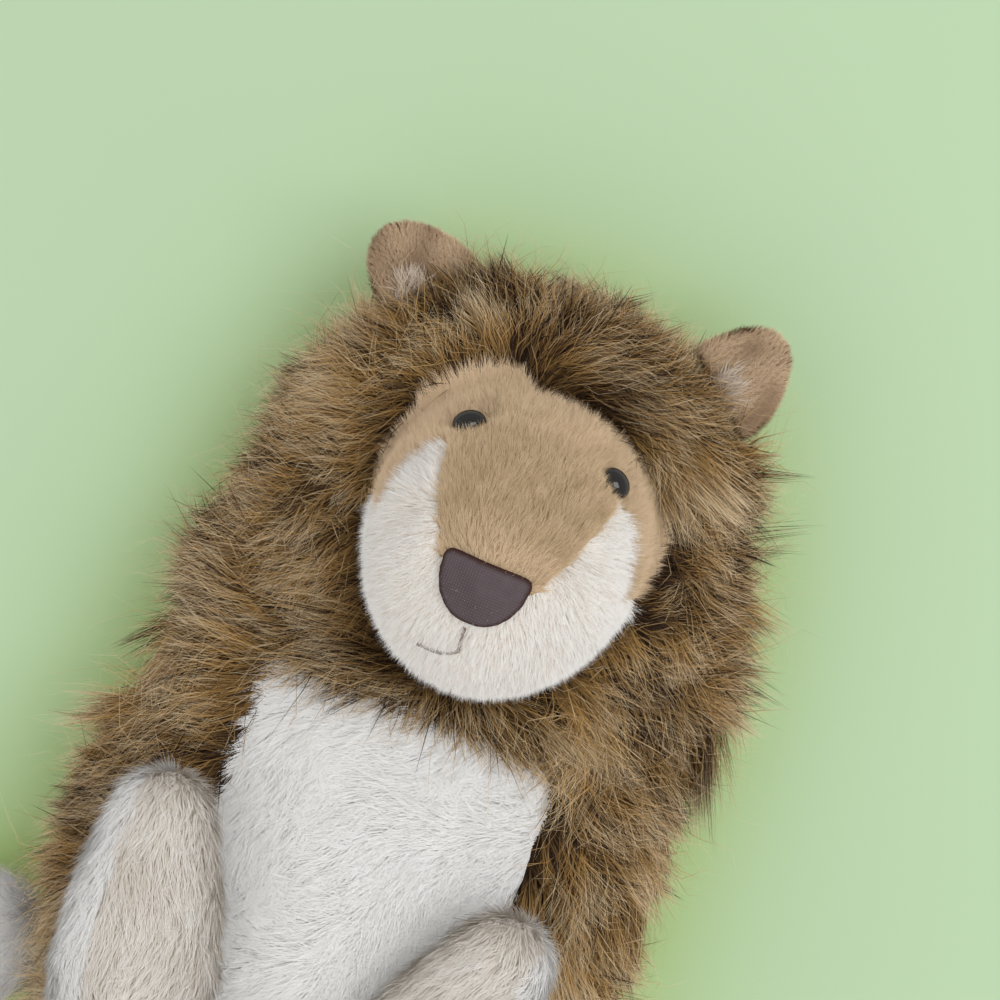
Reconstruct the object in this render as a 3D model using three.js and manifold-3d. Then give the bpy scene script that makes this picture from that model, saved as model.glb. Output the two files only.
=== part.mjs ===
// Plush wolf lying on its back: head toward +Y, face and belly toward +Z, its own left toward +X.
// All sizes in millimetres.
import * as THREE from "three";
import { mergeVertices } from "three/addons/utils/BufferGeometryUtils.js";
import Module from "manifold-3d";

const wasm = await Module();
wasm.setup();

// Cloth thickness and sewing
const SEAM_GAP = 0.3; // kept between neighbouring pieces
const FLOOR_FLAT = 0.5; // depth pressed flat where the toy rests
const COAT = 9; // shaggy cloth with its lower pile
const BELLY_SET_IN = 2; // shorter pile of the belly panel
const PLUSH = 5; // limb cloth
const FACE_PLUSH = 4;
const NOSE_CLOTH = 1.6;

// Torso, from the neck seam down to the seat
const SPINE_HEIGHT = 55; // spine line above the floor
const ORIGIN_BELOW_NECK = 90; // where the origin lies under the back
const TORSO_LENGTH = 224;
const NECK_HALF_WIDTH = 100;
const NECK_FRONT = 44;
const CHEST_HALF_WIDTH = 105;
const CHEST_FRONT = 54;
const WAIST_HALF_WIDTH = 107;
const WAIST_FRONT = 60;
const HIP_HALF_WIDTH = 91;
const HIP_FRONT = 52;
const HIP_BACK = 50;
const SEAT_HALF_WIDTH = 56;
const SEAT_FRONT = 33;
const SEAT_BACK = 33;
const BELLY_HALF_WIDTH = 56;
const BELLY_TOP = 6; // below the neck seam
const BELLY_LENGTH = 188;
const BELLY_CORNER = 12; // rounding of its top corners
const BELLY_ROUND = 50; // rounding of its lower end
const PELLET_BAG_TOP = 168; // below the neck seam

// Head, from the neck seam up to the crown
const HEAD_LENGTH = 150;
const RUFF_HALF_WIDTH = 97;
const RUFF_FRONT = 56;
const JAW_HALF_WIDTH = 90;
const JAW_FRONT = 64;
const TEMPLE_HALF_WIDTH = 81;
const TEMPLE_FRONT = 64;
const CROWN_HALF_WIDTH = 64;
const CROWN_FRONT = 53;
const CROWN_BACK = 48;
const POLL_HALF_WIDTH = 40;
const POLL_DEPTH = 33;

// Face, a dome set into the hood; its axis leans toward the chin
const FACE_ABOVE_NECK = 68;
const FACE_ASIDE = 3; // the face sits a little toward its left
const FACE_TURN = 2; // degrees, the muzzle points a little to its right
const FACE_ABOVE_SPINE = 37;
const FACE_LEAN = 20; // degrees
const FACE_LENGTH = 92;
const FACE_ROOT = 20; // hidden behind the hood
const FACE_HALF_WIDTH = 50;
const FACE_CHIN = 58;
const FACE_BROW = 46;
const MUZZLE_HALF_WIDTH = 43;
const MUZZLE_CHIN = 51;
const MUZZLE_BROW = 26;
const MID_FACE_HALF_WIDTH = 49;
const MID_FACE_CHIN = 57;
const MID_FACE_BROW = 38;
const NOSE_END_HALF_WIDTH = 26;
const NOSE_END_CHIN = 31;
const NOSE_END_BROW = 16;
const BRIDGE_TOP_HALF_WIDTH = 30;
const BRIDGE_NOSE_HALF_WIDTH = 17;
const BROW_LINE_INNER = 28.5; // height of the brow line beside the eye
const BROW_LINE_OUTER = 0; // height where the brow line meets the hood
const BROW_EDGE = 43; // half width between the lower ends of the brow lines
const BROW_TUCK = 8; // how far the brow panels run behind the bridge
const BRIDGE_FOOT = 6; // how far the bridge runs behind the nose
const NOSE_HALF_WIDTH = 16;
const NOSE_TOP = 7;
const NOSE_BOTTOM = 15;
const NOSE_CROWN = 1; // how far its top edge bows up
const MOUTH_DROP = 13; // below the nose
const MOUTH_REACH = 13; // toward its right cheek
const MOUTH_FALL = 5; // how far the mouth line falls toward the cheek
const THREAD_RADIUS = 0.8;

// Eyes
const EYE_RADIUS = 6;
const EYE_HEIGHT = 4.5;
const EYE_SET_IN = 2; // into the pile
const EYE_SPREAD = FACE_HALF_WIDTH * 0.59; // from the middle of the face
const EYE_ALONG = FACE_LENGTH * 0.37; // along the face axis
const SHANK_RADIUS = 2.2;
const SHANK_LENGTH = 13;
const WASHER_RADIUS = 7;
const WASHER_THICKNESS = 2;

// Ears
const EAR_ABOVE_NECK = { left: HEAD_LENGTH * 0.89, right: HEAD_LENGTH * 0.85 };
const EAR_FORWARD = 12; // degrees toward the face
const EAR_HALF_WIDTH = 20;
const EAR_LENGTH = { left: 21.5, right: 18.5 };
const EAR_TIP_LEAN = -0.22; // of the length, both tips lean toward its right
const EAR_PANEL = 4;
const TUFT_LENGTH = 11;
const TUFT_THICKNESS = 3;

// Arms
const ARM_BELOW_NECK = 86;
const ARM_FORWARD = { left: 61, right: 54 }; // degrees from the side seam toward the belly
const ARM_INWARD = 13; // degrees
const ARM_DIP = 8; // degrees, the arm sinks into the belly fur
const ARM_LENGTH = 112;
const SHOULDER_RADIUS = 24;
const ARM_RADIUS = 33;
const PAW_RADIUS = 30;
const ARM_SEAM_ROLL = 32; // degrees, turns the pale side outward

// Legs
const LEG_BELOW_NECK = 157;
const LEG_FORWARD = -14; // degrees from the side seam toward the belly
const LEG_SPLAY = 50; // degrees
const LEG_LENGTH = 106;
const THIGH_RADIUS = 28;
const LEG_RADIUS = 31;
const FOOT_RADIUS = 29;
const LEG_SEAM_ROLL = 0;

// Tail
const TAIL_BELOW_NECK = 214;
const TAIL_LENGTH = 116;
const TAIL_ROOT_RADIUS = 13;
const TAIL_RADIUS = 23;
const TAIL_TIP_RADIUS = 15;
const TAIL_SEAM_ROLL = 0;

// How far the sewn joints swing, in degrees; the cloth is cut back to clear these
const SHOULDER_SWING = 120;
const HIP_SWING = 85;
const TAIL_SWING = 35;
const SWING_STEP = 10;
const ROOT_SINK = 0.6; // how far a rounded limb root presses into the coat

const SIDES = { left: 1, right: -1 };
const radians = THREE.MathUtils.degToRad;

const CLOTH = {
  coat: { color: "#7d6645", roughness: 1 },
  white: { color: "#e9e6e0", roughness: 0.95 },
  beige: { color: "#cdbfaf", roughness: 0.95 },
  tan: { color: "#b2966f", roughness: 0.95 },
  paleTan: { color: "#c6a67e", roughness: 0.95 },
  brown: { color: "#94765d", roughness: 0.95 },
  nose: { color: "#544b55", roughness: 0.85 },
  thread: { color: "#5a3f33", roughness: 0.8 },
  eye: { color: "#0b0a0a", roughness: 0.12 },
  washer: { color: "#d9d9d4", roughness: 0.5 },
  fibre: { color: "#f2f1ec", roughness: 1 },
  pellets: { color: "#c9c4b6", roughness: 0.9 },
};

// Solids and meshes

function solidFrom(geometry) {
  const bare = new THREE.BufferGeometry();
  bare.setAttribute("position", geometry.attributes.position.clone());
  bare.setIndex(geometry.index);
  const welded = mergeVertices(bare, 1e-4);
  const corners = welded.index.array;
  const triangles = [];
  for (let i = 0; i < corners.length; i += 3) {
    const [a, b, c] = corners.slice(i, i + 3);
    if (a !== b && b !== c && c !== a) triangles.push(a, b, c);
  }
  return new wasm.Manifold(new wasm.Mesh({
    numProp: 3,
    vertProperties: new Float32Array(welded.attributes.position.array),
    triVerts: new Uint32Array(triangles),
  }));
}

function meshOf(name, solid, cloth) {
  const { vertProperties, triVerts } = solid.getMesh();
  const geometry = new THREE.BufferGeometry();
  geometry.setAttribute("position", new THREE.BufferAttribute(new Float32Array(vertProperties), 3));
  geometry.setIndex(new THREE.BufferAttribute(new Uint32Array(triVerts), 1));
  geometry.computeVertexNormals();
  const mesh = new THREE.Mesh(geometry, new THREE.MeshStandardMaterial(CLOTH[cloth]));
  mesh.name = name;
  return mesh;
}

function matrixOf(group) {
  group.updateMatrix();
  return group.matrix.clone();
}

// A solid of the parent's frame, as the group sees it
function seenFrom(group, solid) {
  return solid.transform(matrixOf(group).invert().elements);
}

// A solid of the group's frame, as its parent sees it
function placedBy(group, solid) {
  return solid.transform(matrixOf(group).elements);
}

function block(from, to) {
  const size = new THREE.Vector3().subVectors(to, from);
  const middle = new THREE.Vector3().addVectors(from, to).multiplyScalar(0.5);
  return solidFrom(new THREE.BoxGeometry(...size).translate(...middle));
}

const FAR = 600;
const everything = {
  low: new THREE.Vector3(-FAR, -FAR, -FAR),
  high: new THREE.Vector3(FAR, FAR, FAR),
};

function beyond(axis, value) {
  return block(everything.low.clone().setComponent(axis, value), everything.high);
}

function before(axis, value) {
  return block(everything.low, everything.high.clone().setComponent(axis, value));
}

// Everything below the floor, in the frame of the neck seam
const underFloor = before(2, -SPINE_HEIGHT);

// Stuffed forms swell and taper along their own y axis. Each station gives the place along the axis,
// the half width, and the depth in front of and behind the axis. An end station without width is a
// rounded end; any other end is a flat seam.

function sectionsOf(stations, count) {
  const fronts = stations.map(([along, width, front]) => new THREE.Vector3(along, width, front));
  const backs = stations.map(([along, width, front, back = front]) => (
    new THREE.Vector3(along, width, back)
  ));
  const frontCurve = new THREE.CatmullRomCurve3(fronts, false, "catmullrom");
  const backCurve = new THREE.CatmullRomCurve3(backs, false, "catmullrom");
  return Array.from({ length: count + 1 }, (_, i) => {
    const front = frontCurve.getPoint(i / count);
    const back = backCurve.getPoint(i / count);
    const tangent = frontCurve.getTangent(i / count);
    const run = Math.hypot(tangent.x, tangent.y);
    const isEnd = i === 0 || i === count;
    const isPole = isEnd && front.y < 1e-6;
    const lean = isPole ? Math.sign(i - 0.5) : -tangent.y / run;
    return {
      along: front.x,
      width: front.y,
      front: front.z,
      back: back.z,
      lean: isEnd && !isPole ? 0 : lean,
      spread: isPole ? 0 : tangent.x / run,
      isPole,
    };
  });
}

function stuffedForm({ stations, sides, rings }, grow = 0) {
  const points = [];
  const faces = [];
  const starts = [];
  const sections = sectionsOf(stations, rings);
  for (const { along, width, front, back, lean, spread, isPole } of sections) {
    starts.push(points.length);
    for (let k = 0; k < (isPole ? 1 : sides); k += 1) {
      const turn = (2 * Math.PI * k) / sides;
      const depth = Math.sin(turn) >= 0 ? front : back;
      points.push(new THREE.Vector3(
        isPole ? 0 : (width + grow * spread) * Math.cos(turn),
        along + grow * lean,
        isPole ? 0 : (depth + grow * spread) * Math.sin(turn),
      ));
    }
  }
  const at = (ring, k) => starts[ring] + (sections[ring].isPole ? 0 : k % sides);
  for (let ring = 0; ring < rings; ring += 1) {
    for (let k = 0; k < sides; k += 1) {
      faces.push(at(ring, k), at(ring + 1, k), at(ring, k + 1));
      faces.push(at(ring, k + 1), at(ring + 1, k), at(ring + 1, k + 1));
    }
  }
  const capEnd = (ring, flip) => {
    if (sections[ring].isPole) return;
    const middle = points.push(new THREE.Vector3(0, sections[ring].along, 0)) - 1;
    for (let k = 0; k < sides; k += 1) {
      faces.push(middle, at(ring, k + flip), at(ring, k + 1 - flip));
    }
  };
  capEnd(0, 0);
  capEnd(rings, 1);
  const geometry = new THREE.BufferGeometry().setFromPoints(points);
  geometry.setIndex(faces);
  return solidFrom(geometry);
}

// Point and outward direction on a form; the turn runs from the +x side toward the front
function placeOn({ stations }, along, turn) {
  const sections = sectionsOf(stations, 400);
  const off = (section) => Math.abs(section.along - along);
  const nearest = sections.reduce((a, b) => (off(b) < off(a) ? b : a));
  const { width, front, back, lean, spread } = nearest;
  const depth = turn >= 0 && turn <= Math.PI ? front : back;
  const outward = new THREE.Vector3(Math.cos(turn) / width, 0, Math.sin(turn) / depth).normalize();
  outward.multiplyScalar(spread).setY(lean);
  return {
    point: new THREE.Vector3(width * Math.cos(turn), along, depth * Math.sin(turn)),
    outward: outward.normalize(),
  };
}

function orient(group, yAxis, zHint) {
  const y = yAxis.clone().normalize();
  const x = new THREE.Vector3().crossVectors(y, zHint).normalize();
  const z = new THREE.Vector3().crossVectors(x, y);
  group.quaternion.setFromRotationMatrix(new THREE.Matrix4().makeBasis(x, y, z));
}

// Torso

const torsoForm = {
  sides: 24,
  rings: 11,
  stations: [
    [-TORSO_LENGTH, 0, 0],
    [-TORSO_LENGTH * 0.94, SEAT_HALF_WIDTH, SEAT_FRONT, SEAT_BACK],
    [-TORSO_LENGTH * 0.8, HIP_HALF_WIDTH, HIP_FRONT, HIP_BACK],
    [-TORSO_LENGTH * 0.58, WAIST_HALF_WIDTH, WAIST_FRONT, SPINE_HEIGHT + FLOOR_FLAT],
    [-TORSO_LENGTH * 0.28, CHEST_HALF_WIDTH, CHEST_FRONT, SPINE_HEIGHT + FLOOR_FLAT],
    [-SEAM_GAP, NECK_HALF_WIDTH, NECK_FRONT, SPINE_HEIGHT + FLOOR_FLAT],
  ],
};

function bellyWindow(grow) {
  const side = BELLY_HALF_WIDTH + grow;
  const top = -BELLY_TOP + grow;
  const bottom = -BELLY_TOP - BELLY_LENGTH - grow;
  const middle = (top + bottom) / 2;
  const corner = side - BELLY_CORNER * 0.65;
  const outline = new THREE.Shape();
  outline.moveTo(-corner, top);
  outline.lineTo(corner, top);
  outline.bezierCurveTo(side, top - BELLY_CORNER, side, top - BELLY_ROUND, side, middle);
  outline.bezierCurveTo(side, bottom + BELLY_ROUND, side * 0.62, bottom, 0, bottom);
  outline.bezierCurveTo(-side * 0.62, bottom, -side, bottom + BELLY_ROUND, -side, middle);
  outline.bezierCurveTo(-side, top - BELLY_ROUND, -side, top - BELLY_CORNER, -corner, top);
  const extrusion = { depth: FAR, bevelEnabled: false, curveSegments: 5 };
  return solidFrom(new THREE.ExtrudeGeometry(outline, extrusion));
}

const torso = new THREE.Group();
torso.name = "torso";
const torsoOuter = stuffedForm(torsoForm);
const torsoInner = stuffedForm(torsoForm, -COAT);
const torsoCore = stuffedForm(torsoForm, -COAT - SEAM_GAP);
const torsoCoat = torsoOuter.subtract(torsoInner).subtract(bellyWindow(SEAM_GAP)).subtract(underFloor);
const belly = stuffedForm(torsoForm, -BELLY_SET_IN).subtract(torsoInner).intersect(bellyWindow(0));
torso.add(
  meshOf("torso_coat", torsoCoat, "coat"),
  meshOf("belly_panel", belly, "white"),
  meshOf("torso_stuffing", torsoCore.intersect(beyond(1, -PELLET_BAG_TOP + SEAM_GAP)), "fibre"),
  meshOf("pellet_bag", torsoCore.intersect(before(1, -PELLET_BAG_TOP)), "pellets"),
);

// Head

const headForm = {
  sides: 24,
  rings: 10,
  stations: [
    [0, NECK_HALF_WIDTH, NECK_FRONT, SPINE_HEIGHT + FLOOR_FLAT],
    [HEAD_LENGTH * 0.2, RUFF_HALF_WIDTH, RUFF_FRONT, SPINE_HEIGHT + FLOOR_FLAT],
    [HEAD_LENGTH * 0.42, JAW_HALF_WIDTH, JAW_FRONT, SPINE_HEIGHT + FLOOR_FLAT],
    [HEAD_LENGTH * 0.64, TEMPLE_HALF_WIDTH, TEMPLE_FRONT, SPINE_HEIGHT + FLOOR_FLAT],
    [HEAD_LENGTH * 0.83, CROWN_HALF_WIDTH, CROWN_FRONT, CROWN_BACK],
    [HEAD_LENGTH * 0.95, POLL_HALF_WIDTH, POLL_DEPTH],
    [HEAD_LENGTH, 0, 0],
  ],
};

const faceForm = {
  sides: 20,
  rings: 9,
  stations: [
    [-FACE_ROOT, FACE_HALF_WIDTH, FACE_CHIN, FACE_BROW],
    [FACE_LENGTH * 0.27, FACE_HALF_WIDTH, FACE_CHIN, FACE_BROW],
    [FACE_LENGTH * 0.5, MID_FACE_HALF_WIDTH, MID_FACE_CHIN, MID_FACE_BROW],
    [FACE_LENGTH * 0.72, MUZZLE_HALF_WIDTH, MUZZLE_CHIN, MUZZLE_BROW],
    [FACE_LENGTH * 0.9, NOSE_END_HALF_WIDTH, NOSE_END_CHIN, NOSE_END_BROW],
    [FACE_LENGTH, 0, 0],
  ],
};

// Cutter drawn on the face as seen along its axis, x across and the second coordinate toward the forehead
function faceCutter(outline, from = -FACE_LENGTH) {
  const extrusion = { depth: FAR, bevelEnabled: false, curveSegments: 5 };
  const cutter = new THREE.ExtrudeGeometry(outline, extrusion);
  return solidFrom(cutter.rotateX(-Math.PI / 2).translate(0, from, 0));
}

function bridgeOutline(grow) {
  const top = BRIDGE_TOP_HALF_WIDTH + grow;
  const nose = BRIDGE_NOSE_HALF_WIDTH + grow;
  const foot = NOSE_TOP - BRIDGE_FOOT - grow;
  const flare = nose + BRIDGE_FOOT * 0.7;
  const swell = foot + BRIDGE_FOOT * 2;
  const shoulder = BROW_LINE_INNER - BROW_TUCK;
  const outline = new THREE.Shape();
  outline.moveTo(-nose, foot);
  outline.lineTo(nose, foot);
  outline.bezierCurveTo(flare, swell, top, shoulder, top, BROW_LINE_INNER);
  outline.lineTo(top, FAR);
  outline.lineTo(-top, FAR);
  outline.lineTo(-top, BROW_LINE_INNER);
  outline.bezierCurveTo(-top, shoulder, -flare, swell, -nose, foot);
  return outline;
}

function browOutline(side, grow) {
  const inner = BROW_LINE_INNER - grow;
  const outer = BROW_LINE_OUTER - grow;
  const edge = BROW_EDGE - grow;
  const hidden = BRIDGE_TOP_HALF_WIDTH - BROW_TUCK;
  const shoulder = (BRIDGE_TOP_HALF_WIDTH + edge) / 2;
  const outline = new THREE.Shape();
  outline.moveTo(side * hidden, inner);
  outline.lineTo(side * BRIDGE_TOP_HALF_WIDTH, inner);
  outline.bezierCurveTo(
    side * shoulder,
    inner - BROW_TUCK / 2,
    side * edge,
    (inner + outer) / 2,
    side * edge,
    outer,
  );
  outline.lineTo(side * FAR, outer);
  outline.lineTo(side * FAR, FAR);
  outline.lineTo(side * hidden, FAR);
  outline.closePath();
  return outline;
}

function noseOutline() {
  const side = NOSE_HALF_WIDTH;
  const top = NOSE_TOP + NOSE_CROWN;
  const corner = NOSE_TOP - NOSE_CROWN * 3;
  const bottom = -NOSE_BOTTOM;
  const outline = new THREE.Shape();
  outline.moveTo(0, top);
  outline.bezierCurveTo(side * 0.8, top, side, top, side, corner);
  outline.bezierCurveTo(side, bottom * 0.55, side * 0.5, bottom, side * 0.15, bottom);
  outline.lineTo(-side * 0.15, bottom);
  outline.bezierCurveTo(-side * 0.5, bottom, -side, bottom * 0.55, -side, corner);
  outline.bezierCurveTo(-side, top, -side * 0.8, top, 0, top);
  return outline;
}

// Point on the face front under a place on its drawing, lifted off the cloth
function onFace(x, up, lift) {
  const front = sectionsOf(faceForm.stations, 400).filter(({ along }) => along > FACE_LENGTH * 0.3);
  const depthOf = (section) => (up > 0 ? section.back : section.front);
  const reach = (section) => Math.hypot(x / section.width, up / depthOf(section));
  const under = front.find((section) => section.isPole || reach(section) >= 1);
  const outward = new THREE.Vector3(x / under.width ** 2, 0, -up / depthOf(under) ** 2);
  outward.setLength(under.spread).setY(under.lean).normalize();
  return new THREE.Vector3(x, under.along, -up).addScaledVector(outward, lift);
}

function mouthStitch() {
  const lift = THREAD_RADIUS + SEAM_GAP;
  const top = -NOSE_BOTTOM - THREAD_RADIUS * 3;
  const low = -NOSE_BOTTOM - MOUTH_DROP;
  const end = low - MOUTH_FALL;
  const strands = [
    [[0, top], [THREAD_RADIUS / 2, (top + low) / 2], [THREAD_RADIUS, low]],
    [[THREAD_RADIUS, low], [-MOUTH_REACH * 0.3, low - MOUTH_FALL * 0.7], [-MOUTH_REACH, end]],
  ];
  return strands.map((places) => {
    const curve = new THREE.CatmullRomCurve3(places.map(([x, up]) => onFace(x, up, lift)));
    const cross = new THREE.Shape().absarc(0, 0, THREAD_RADIUS, 0, 2 * Math.PI);
    const strand = { steps: 5, extrudePath: curve, bevelEnabled: false, curveSegments: 3 };
    return solidFrom(new THREE.ExtrudeGeometry(cross, strand));
  }).reduce((a, b) => a.add(b));
}

const head = new THREE.Group();
head.name = "head";
const face = new THREE.Group();
face.name = "face";
face.position.set(FACE_ASIDE, FACE_ABOVE_NECK, FACE_ABOVE_SPINE);
face.rotation.order = "YXZ";
face.rotation.y = radians(-FACE_TURN);
face.rotation.x = radians(90 + FACE_LEAN);

const hoodInner = stuffedForm(headForm, -COAT);
const hood = stuffedForm(headForm)
  .subtract(hoodInner)
  .subtract(placedBy(face, stuffedForm(faceForm, SEAM_GAP)))
  .subtract(underFloor);
head.add(meshOf("mane_hood", hood, "coat"));

// Eyes, each in its own frame with y pointing out of the face

function eyeSolid() {
  const profile = [
    [0, -SHANK_LENGTH],
    [SHANK_RADIUS, -SHANK_LENGTH],
    [SHANK_RADIUS, 0],
    [EYE_RADIUS * 0.9, 0],
    [EYE_RADIUS, EYE_HEIGHT * 0.25],
    [EYE_RADIUS * 0.78, EYE_HEIGHT * 0.68],
    [EYE_RADIUS * 0.42, EYE_HEIGHT * 0.93],
    [0, EYE_HEIGHT],
  ].map(([r, y]) => new THREE.Vector2(r, y));
  return solidFrom(new THREE.LatheGeometry(profile, 16));
}

function ring(inner, outer, low, high) {
  const profile = [[inner, low], [outer, low], [outer, high], [inner, high], [inner, low]];
  return solidFrom(new THREE.LatheGeometry(profile.map(([r, y]) => new THREE.Vector2(r, y)), 16));
}

function rod(radius, low, high) {
  const bar = new THREE.CylinderGeometry(radius, radius, high - low, 16);
  return solidFrom(bar.translate(0, (low + high) / 2, 0));
}

const washerHigh = EYE_SET_IN - FACE_PLUSH - EYE_RADIUS * 0.5;
const washerLow = washerHigh - WASHER_THICKNESS;
const eyes = Object.entries(SIDES).map(([label, side]) => {
  const spot = sectionsOf(faceForm.stations, 400).find(({ along }) => along >= EYE_ALONG);
  const turn = 2 * Math.PI - Math.acos((side * EYE_SPREAD) / spot.width);
  const { point, outward } = placeOn(faceForm, EYE_ALONG, turn);
  const eye = new THREE.Group();
  eye.name = `eye_group_${label}`;
  orient(eye, outward, new THREE.Vector3(0, 1, 0));
  eye.position.copy(point).addScaledVector(outward, -EYE_SET_IN);
  const washer = ring(SHANK_RADIUS + SEAM_GAP, WASHER_RADIUS, washerLow, washerHigh);
  eye.add(
    meshOf(`eye_${label}`, eyeSolid(), "eye"),
    meshOf(`eye_washer_${label}`, washer, "washer"),
  );
  return eye;
});

const faceClear = stuffedForm(faceForm, -FACE_PLUSH);
const beadHole = rod(EYE_RADIUS + SEAM_GAP, -SEAM_GAP, FAR);
const shankHole = rod(SHANK_RADIUS + SEAM_GAP, washerLow, FAR).add(beadHole);
const washerPocket = rod(WASHER_RADIUS + SEAM_GAP, -SHANK_LENGTH - SEAM_GAP, FAR);
const shankHoles = eyes.map((eye) => placedBy(eye, shankHole)).reduce((a, b) => a.add(b));
const washerPockets = eyes.map((eye) => placedBy(eye, washerPocket)).reduce((a, b) => a.add(b));
const faceShell = stuffedForm(faceForm)
  .subtract(faceClear)
  .subtract(seenFrom(face, hoodInner))
  .subtract(shankHoles);
const bridgeWide = faceCutter(bridgeOutline(SEAM_GAP));
const browsWide = faceCutter(browOutline(1, SEAM_GAP)).add(faceCutter(browOutline(-1, SEAM_GAP)));
const cheeks = faceShell.subtract(bridgeWide).subtract(browsWide);
const brows = faceShell.subtract(bridgeWide);
face.add(
  meshOf("bridge_panel", faceShell.intersect(faceCutter(bridgeOutline(0))), "tan"),
  meshOf("brow_left", brows.intersect(faceCutter(browOutline(1, 0))), "paleTan"),
  meshOf("brow_right", brows.intersect(faceCutter(browOutline(-1, 0))), "paleTan"),
  meshOf("cheek_left", cheeks.intersect(beyond(0, SEAM_GAP / 2)), "white"),
  meshOf("cheek_right", cheeks.intersect(before(0, -SEAM_GAP / 2)), "white"),
);
const noseShell = stuffedForm(faceForm, SEAM_GAP + NOSE_CLOTH).subtract(stuffedForm(faceForm, SEAM_GAP));
face.add(
  meshOf("nose", noseShell.intersect(faceCutter(noseOutline(), FACE_LENGTH * 0.5)), "nose"),
  meshOf("mouth_stitch", mouthStitch(), "thread"),
  ...eyes,
);
head.add(face);
const headStuffing = stuffedForm(headForm, -COAT - SEAM_GAP)
  .add(placedBy(face, stuffedForm(faceForm, -FACE_PLUSH - SEAM_GAP)))
  .subtract(placedBy(face, washerPockets));
head.add(meshOf("head_stuffing", headStuffing, "fibre"));

// Ears, each hinged on the rounded foot of its panels

function earOutline(length, halfWidth) {
  const foot = halfWidth * 0.92;
  const tip = halfWidth * 0.3;
  const lean = EAR_TIP_LEAN * length;
  const top = length * 0.94;
  const peak = length * 1.02;
  const outline = new THREE.Shape();
  outline.moveTo(-foot, -EAR_PANEL * 2);
  outline.lineTo(foot, -EAR_PANEL * 2);
  outline.bezierCurveTo(foot, length * 0.3, lean + tip * 1.9, length * 0.74, lean + tip, top);
  outline.bezierCurveTo(lean + tip / 2, peak, lean - tip / 2, peak, lean - tip, top);
  outline.bezierCurveTo(lean - tip * 1.9, length * 0.74, -foot, length * 0.3, -foot, -EAR_PANEL * 2);
  return outline;
}

function earPanel(length, halfWidth, low, high) {
  const extrusion = { depth: high - low, bevelEnabled: false, curveSegments: 4 };
  const cloth = new THREE.ExtrudeGeometry(earOutline(length, halfWidth), extrusion);
  return solidFrom(cloth.translate(0, 0, low)).intersect(earKeep);
}

const earFoot = EAR_PANEL + TUFT_THICKNESS + SEAM_GAP * 1.5;
const earRoll = new THREE.CylinderGeometry(earFoot, earFoot, FAR, 24).rotateZ(Math.PI / 2);
const earKeep = beyond(1, 0).add(solidFrom(earRoll));
for (const [label, side] of Object.entries(SIDES)) {
  const turn = side > 0 ? radians(EAR_FORWARD) : Math.PI - radians(EAR_FORWARD);
  const { point, outward } = placeOn(headForm, EAR_ABOVE_NECK[label], turn);
  const ear = new THREE.Group();
  ear.name = `ear_${label}`;
  orient(ear, outward, new THREE.Vector3(0, 0, 1));
  ear.position.copy(point).addScaledVector(outward, earFoot + SEAM_GAP);
  const half = SEAM_GAP / 2;
  const tuftFoot = EAR_PANEL + half + SEAM_GAP;
  const front = earPanel(EAR_LENGTH[label], EAR_HALF_WIDTH, half, half + EAR_PANEL);
  const back = earPanel(EAR_LENGTH[label], EAR_HALF_WIDTH, -half - EAR_PANEL, -half);
  const tuft = earPanel(TUFT_LENGTH, EAR_HALF_WIDTH * 0.7, tuftFoot, tuftFoot + TUFT_THICKNESS);
  ear.add(
    meshOf(`ear_front_${label}`, front, "brown"),
    meshOf(`ear_back_${label}`, back, "brown"),
    meshOf(`ear_tuft_${label}`, tuft, "white"),
  );
  head.add(ear);
}

// Limbs and tail: a stuffed form in two cloth halves around its filling, swung about a rounded root

function addLimb(parent, name, limbOf) {
  const { form, point, outward, rootRadius, heading, hingeAxis, swings, seamRoll, cloths } = limbOf;
  const limb = new THREE.Group();
  limb.name = name;
  orient(limb, heading, new THREE.Vector3(0, 0, 1));
  limb.position.copy(point).addScaledVector(outward, rootRadius - ROOT_SINK);
  const turned = (swing) => new THREE.Matrix4().makeRotationAxis(hingeAxis, -radians(swing)).elements;
  const clearOfTorso = (gap) => {
    const obstacle = seenFrom(limb, stuffedForm(torsoForm, gap));
    return swings.map((swing) => obstacle.transform(turned(swing))).reduce((a, b) => a.add(b));
  };
  const trimmed = (grow) => stuffedForm(form, grow).subtract(clearOfTorso(SEAM_GAP - grow));
  const skin = trimmed(0).subtract(trimmed(-PLUSH)).subtract(seenFrom(limb, underFloor));
  const roll = new THREE.Matrix4().makeRotationY(radians(seamRoll)).elements;
  limb.add(
    meshOf(`${name}_top`, skin.intersect(beyond(2, SEAM_GAP / 2).transform(roll)), cloths[0]),
    meshOf(`${name}_under`, skin.intersect(before(2, -SEAM_GAP / 2).transform(roll)), cloths[1]),
    meshOf(`${name}_stuffing`, trimmed(-PLUSH - SEAM_GAP), "fibre"),
  );
  parent.add(limb);
  return limb;
}

function limbForm(length, root, middle, end) {
  return {
    sides: 12,
    rings: 9,
    stations: [
      [-root, 0, 0],
      [-root * 0.72, root * 0.69, root * 0.69],
      [0, root, root],
      [length * 0.35, middle, middle],
      [length * 0.68, (middle + end) / 2, (middle + end) / 2],
      [length - end * 0.3, end * 0.8, end * 0.8],
      [length, 0, 0],
    ],
  };
}

const limbAxis = new THREE.Vector3(1, 0, 0);
const tailAxis = new THREE.Vector3(0, 0, 1);

function swingSteps(from, to) {
  const count = Math.ceil((to - from) / SWING_STEP);
  return Array.from({ length: count + 1 }, (_, i) => from + ((to - from) * i) / count);
}

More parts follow.
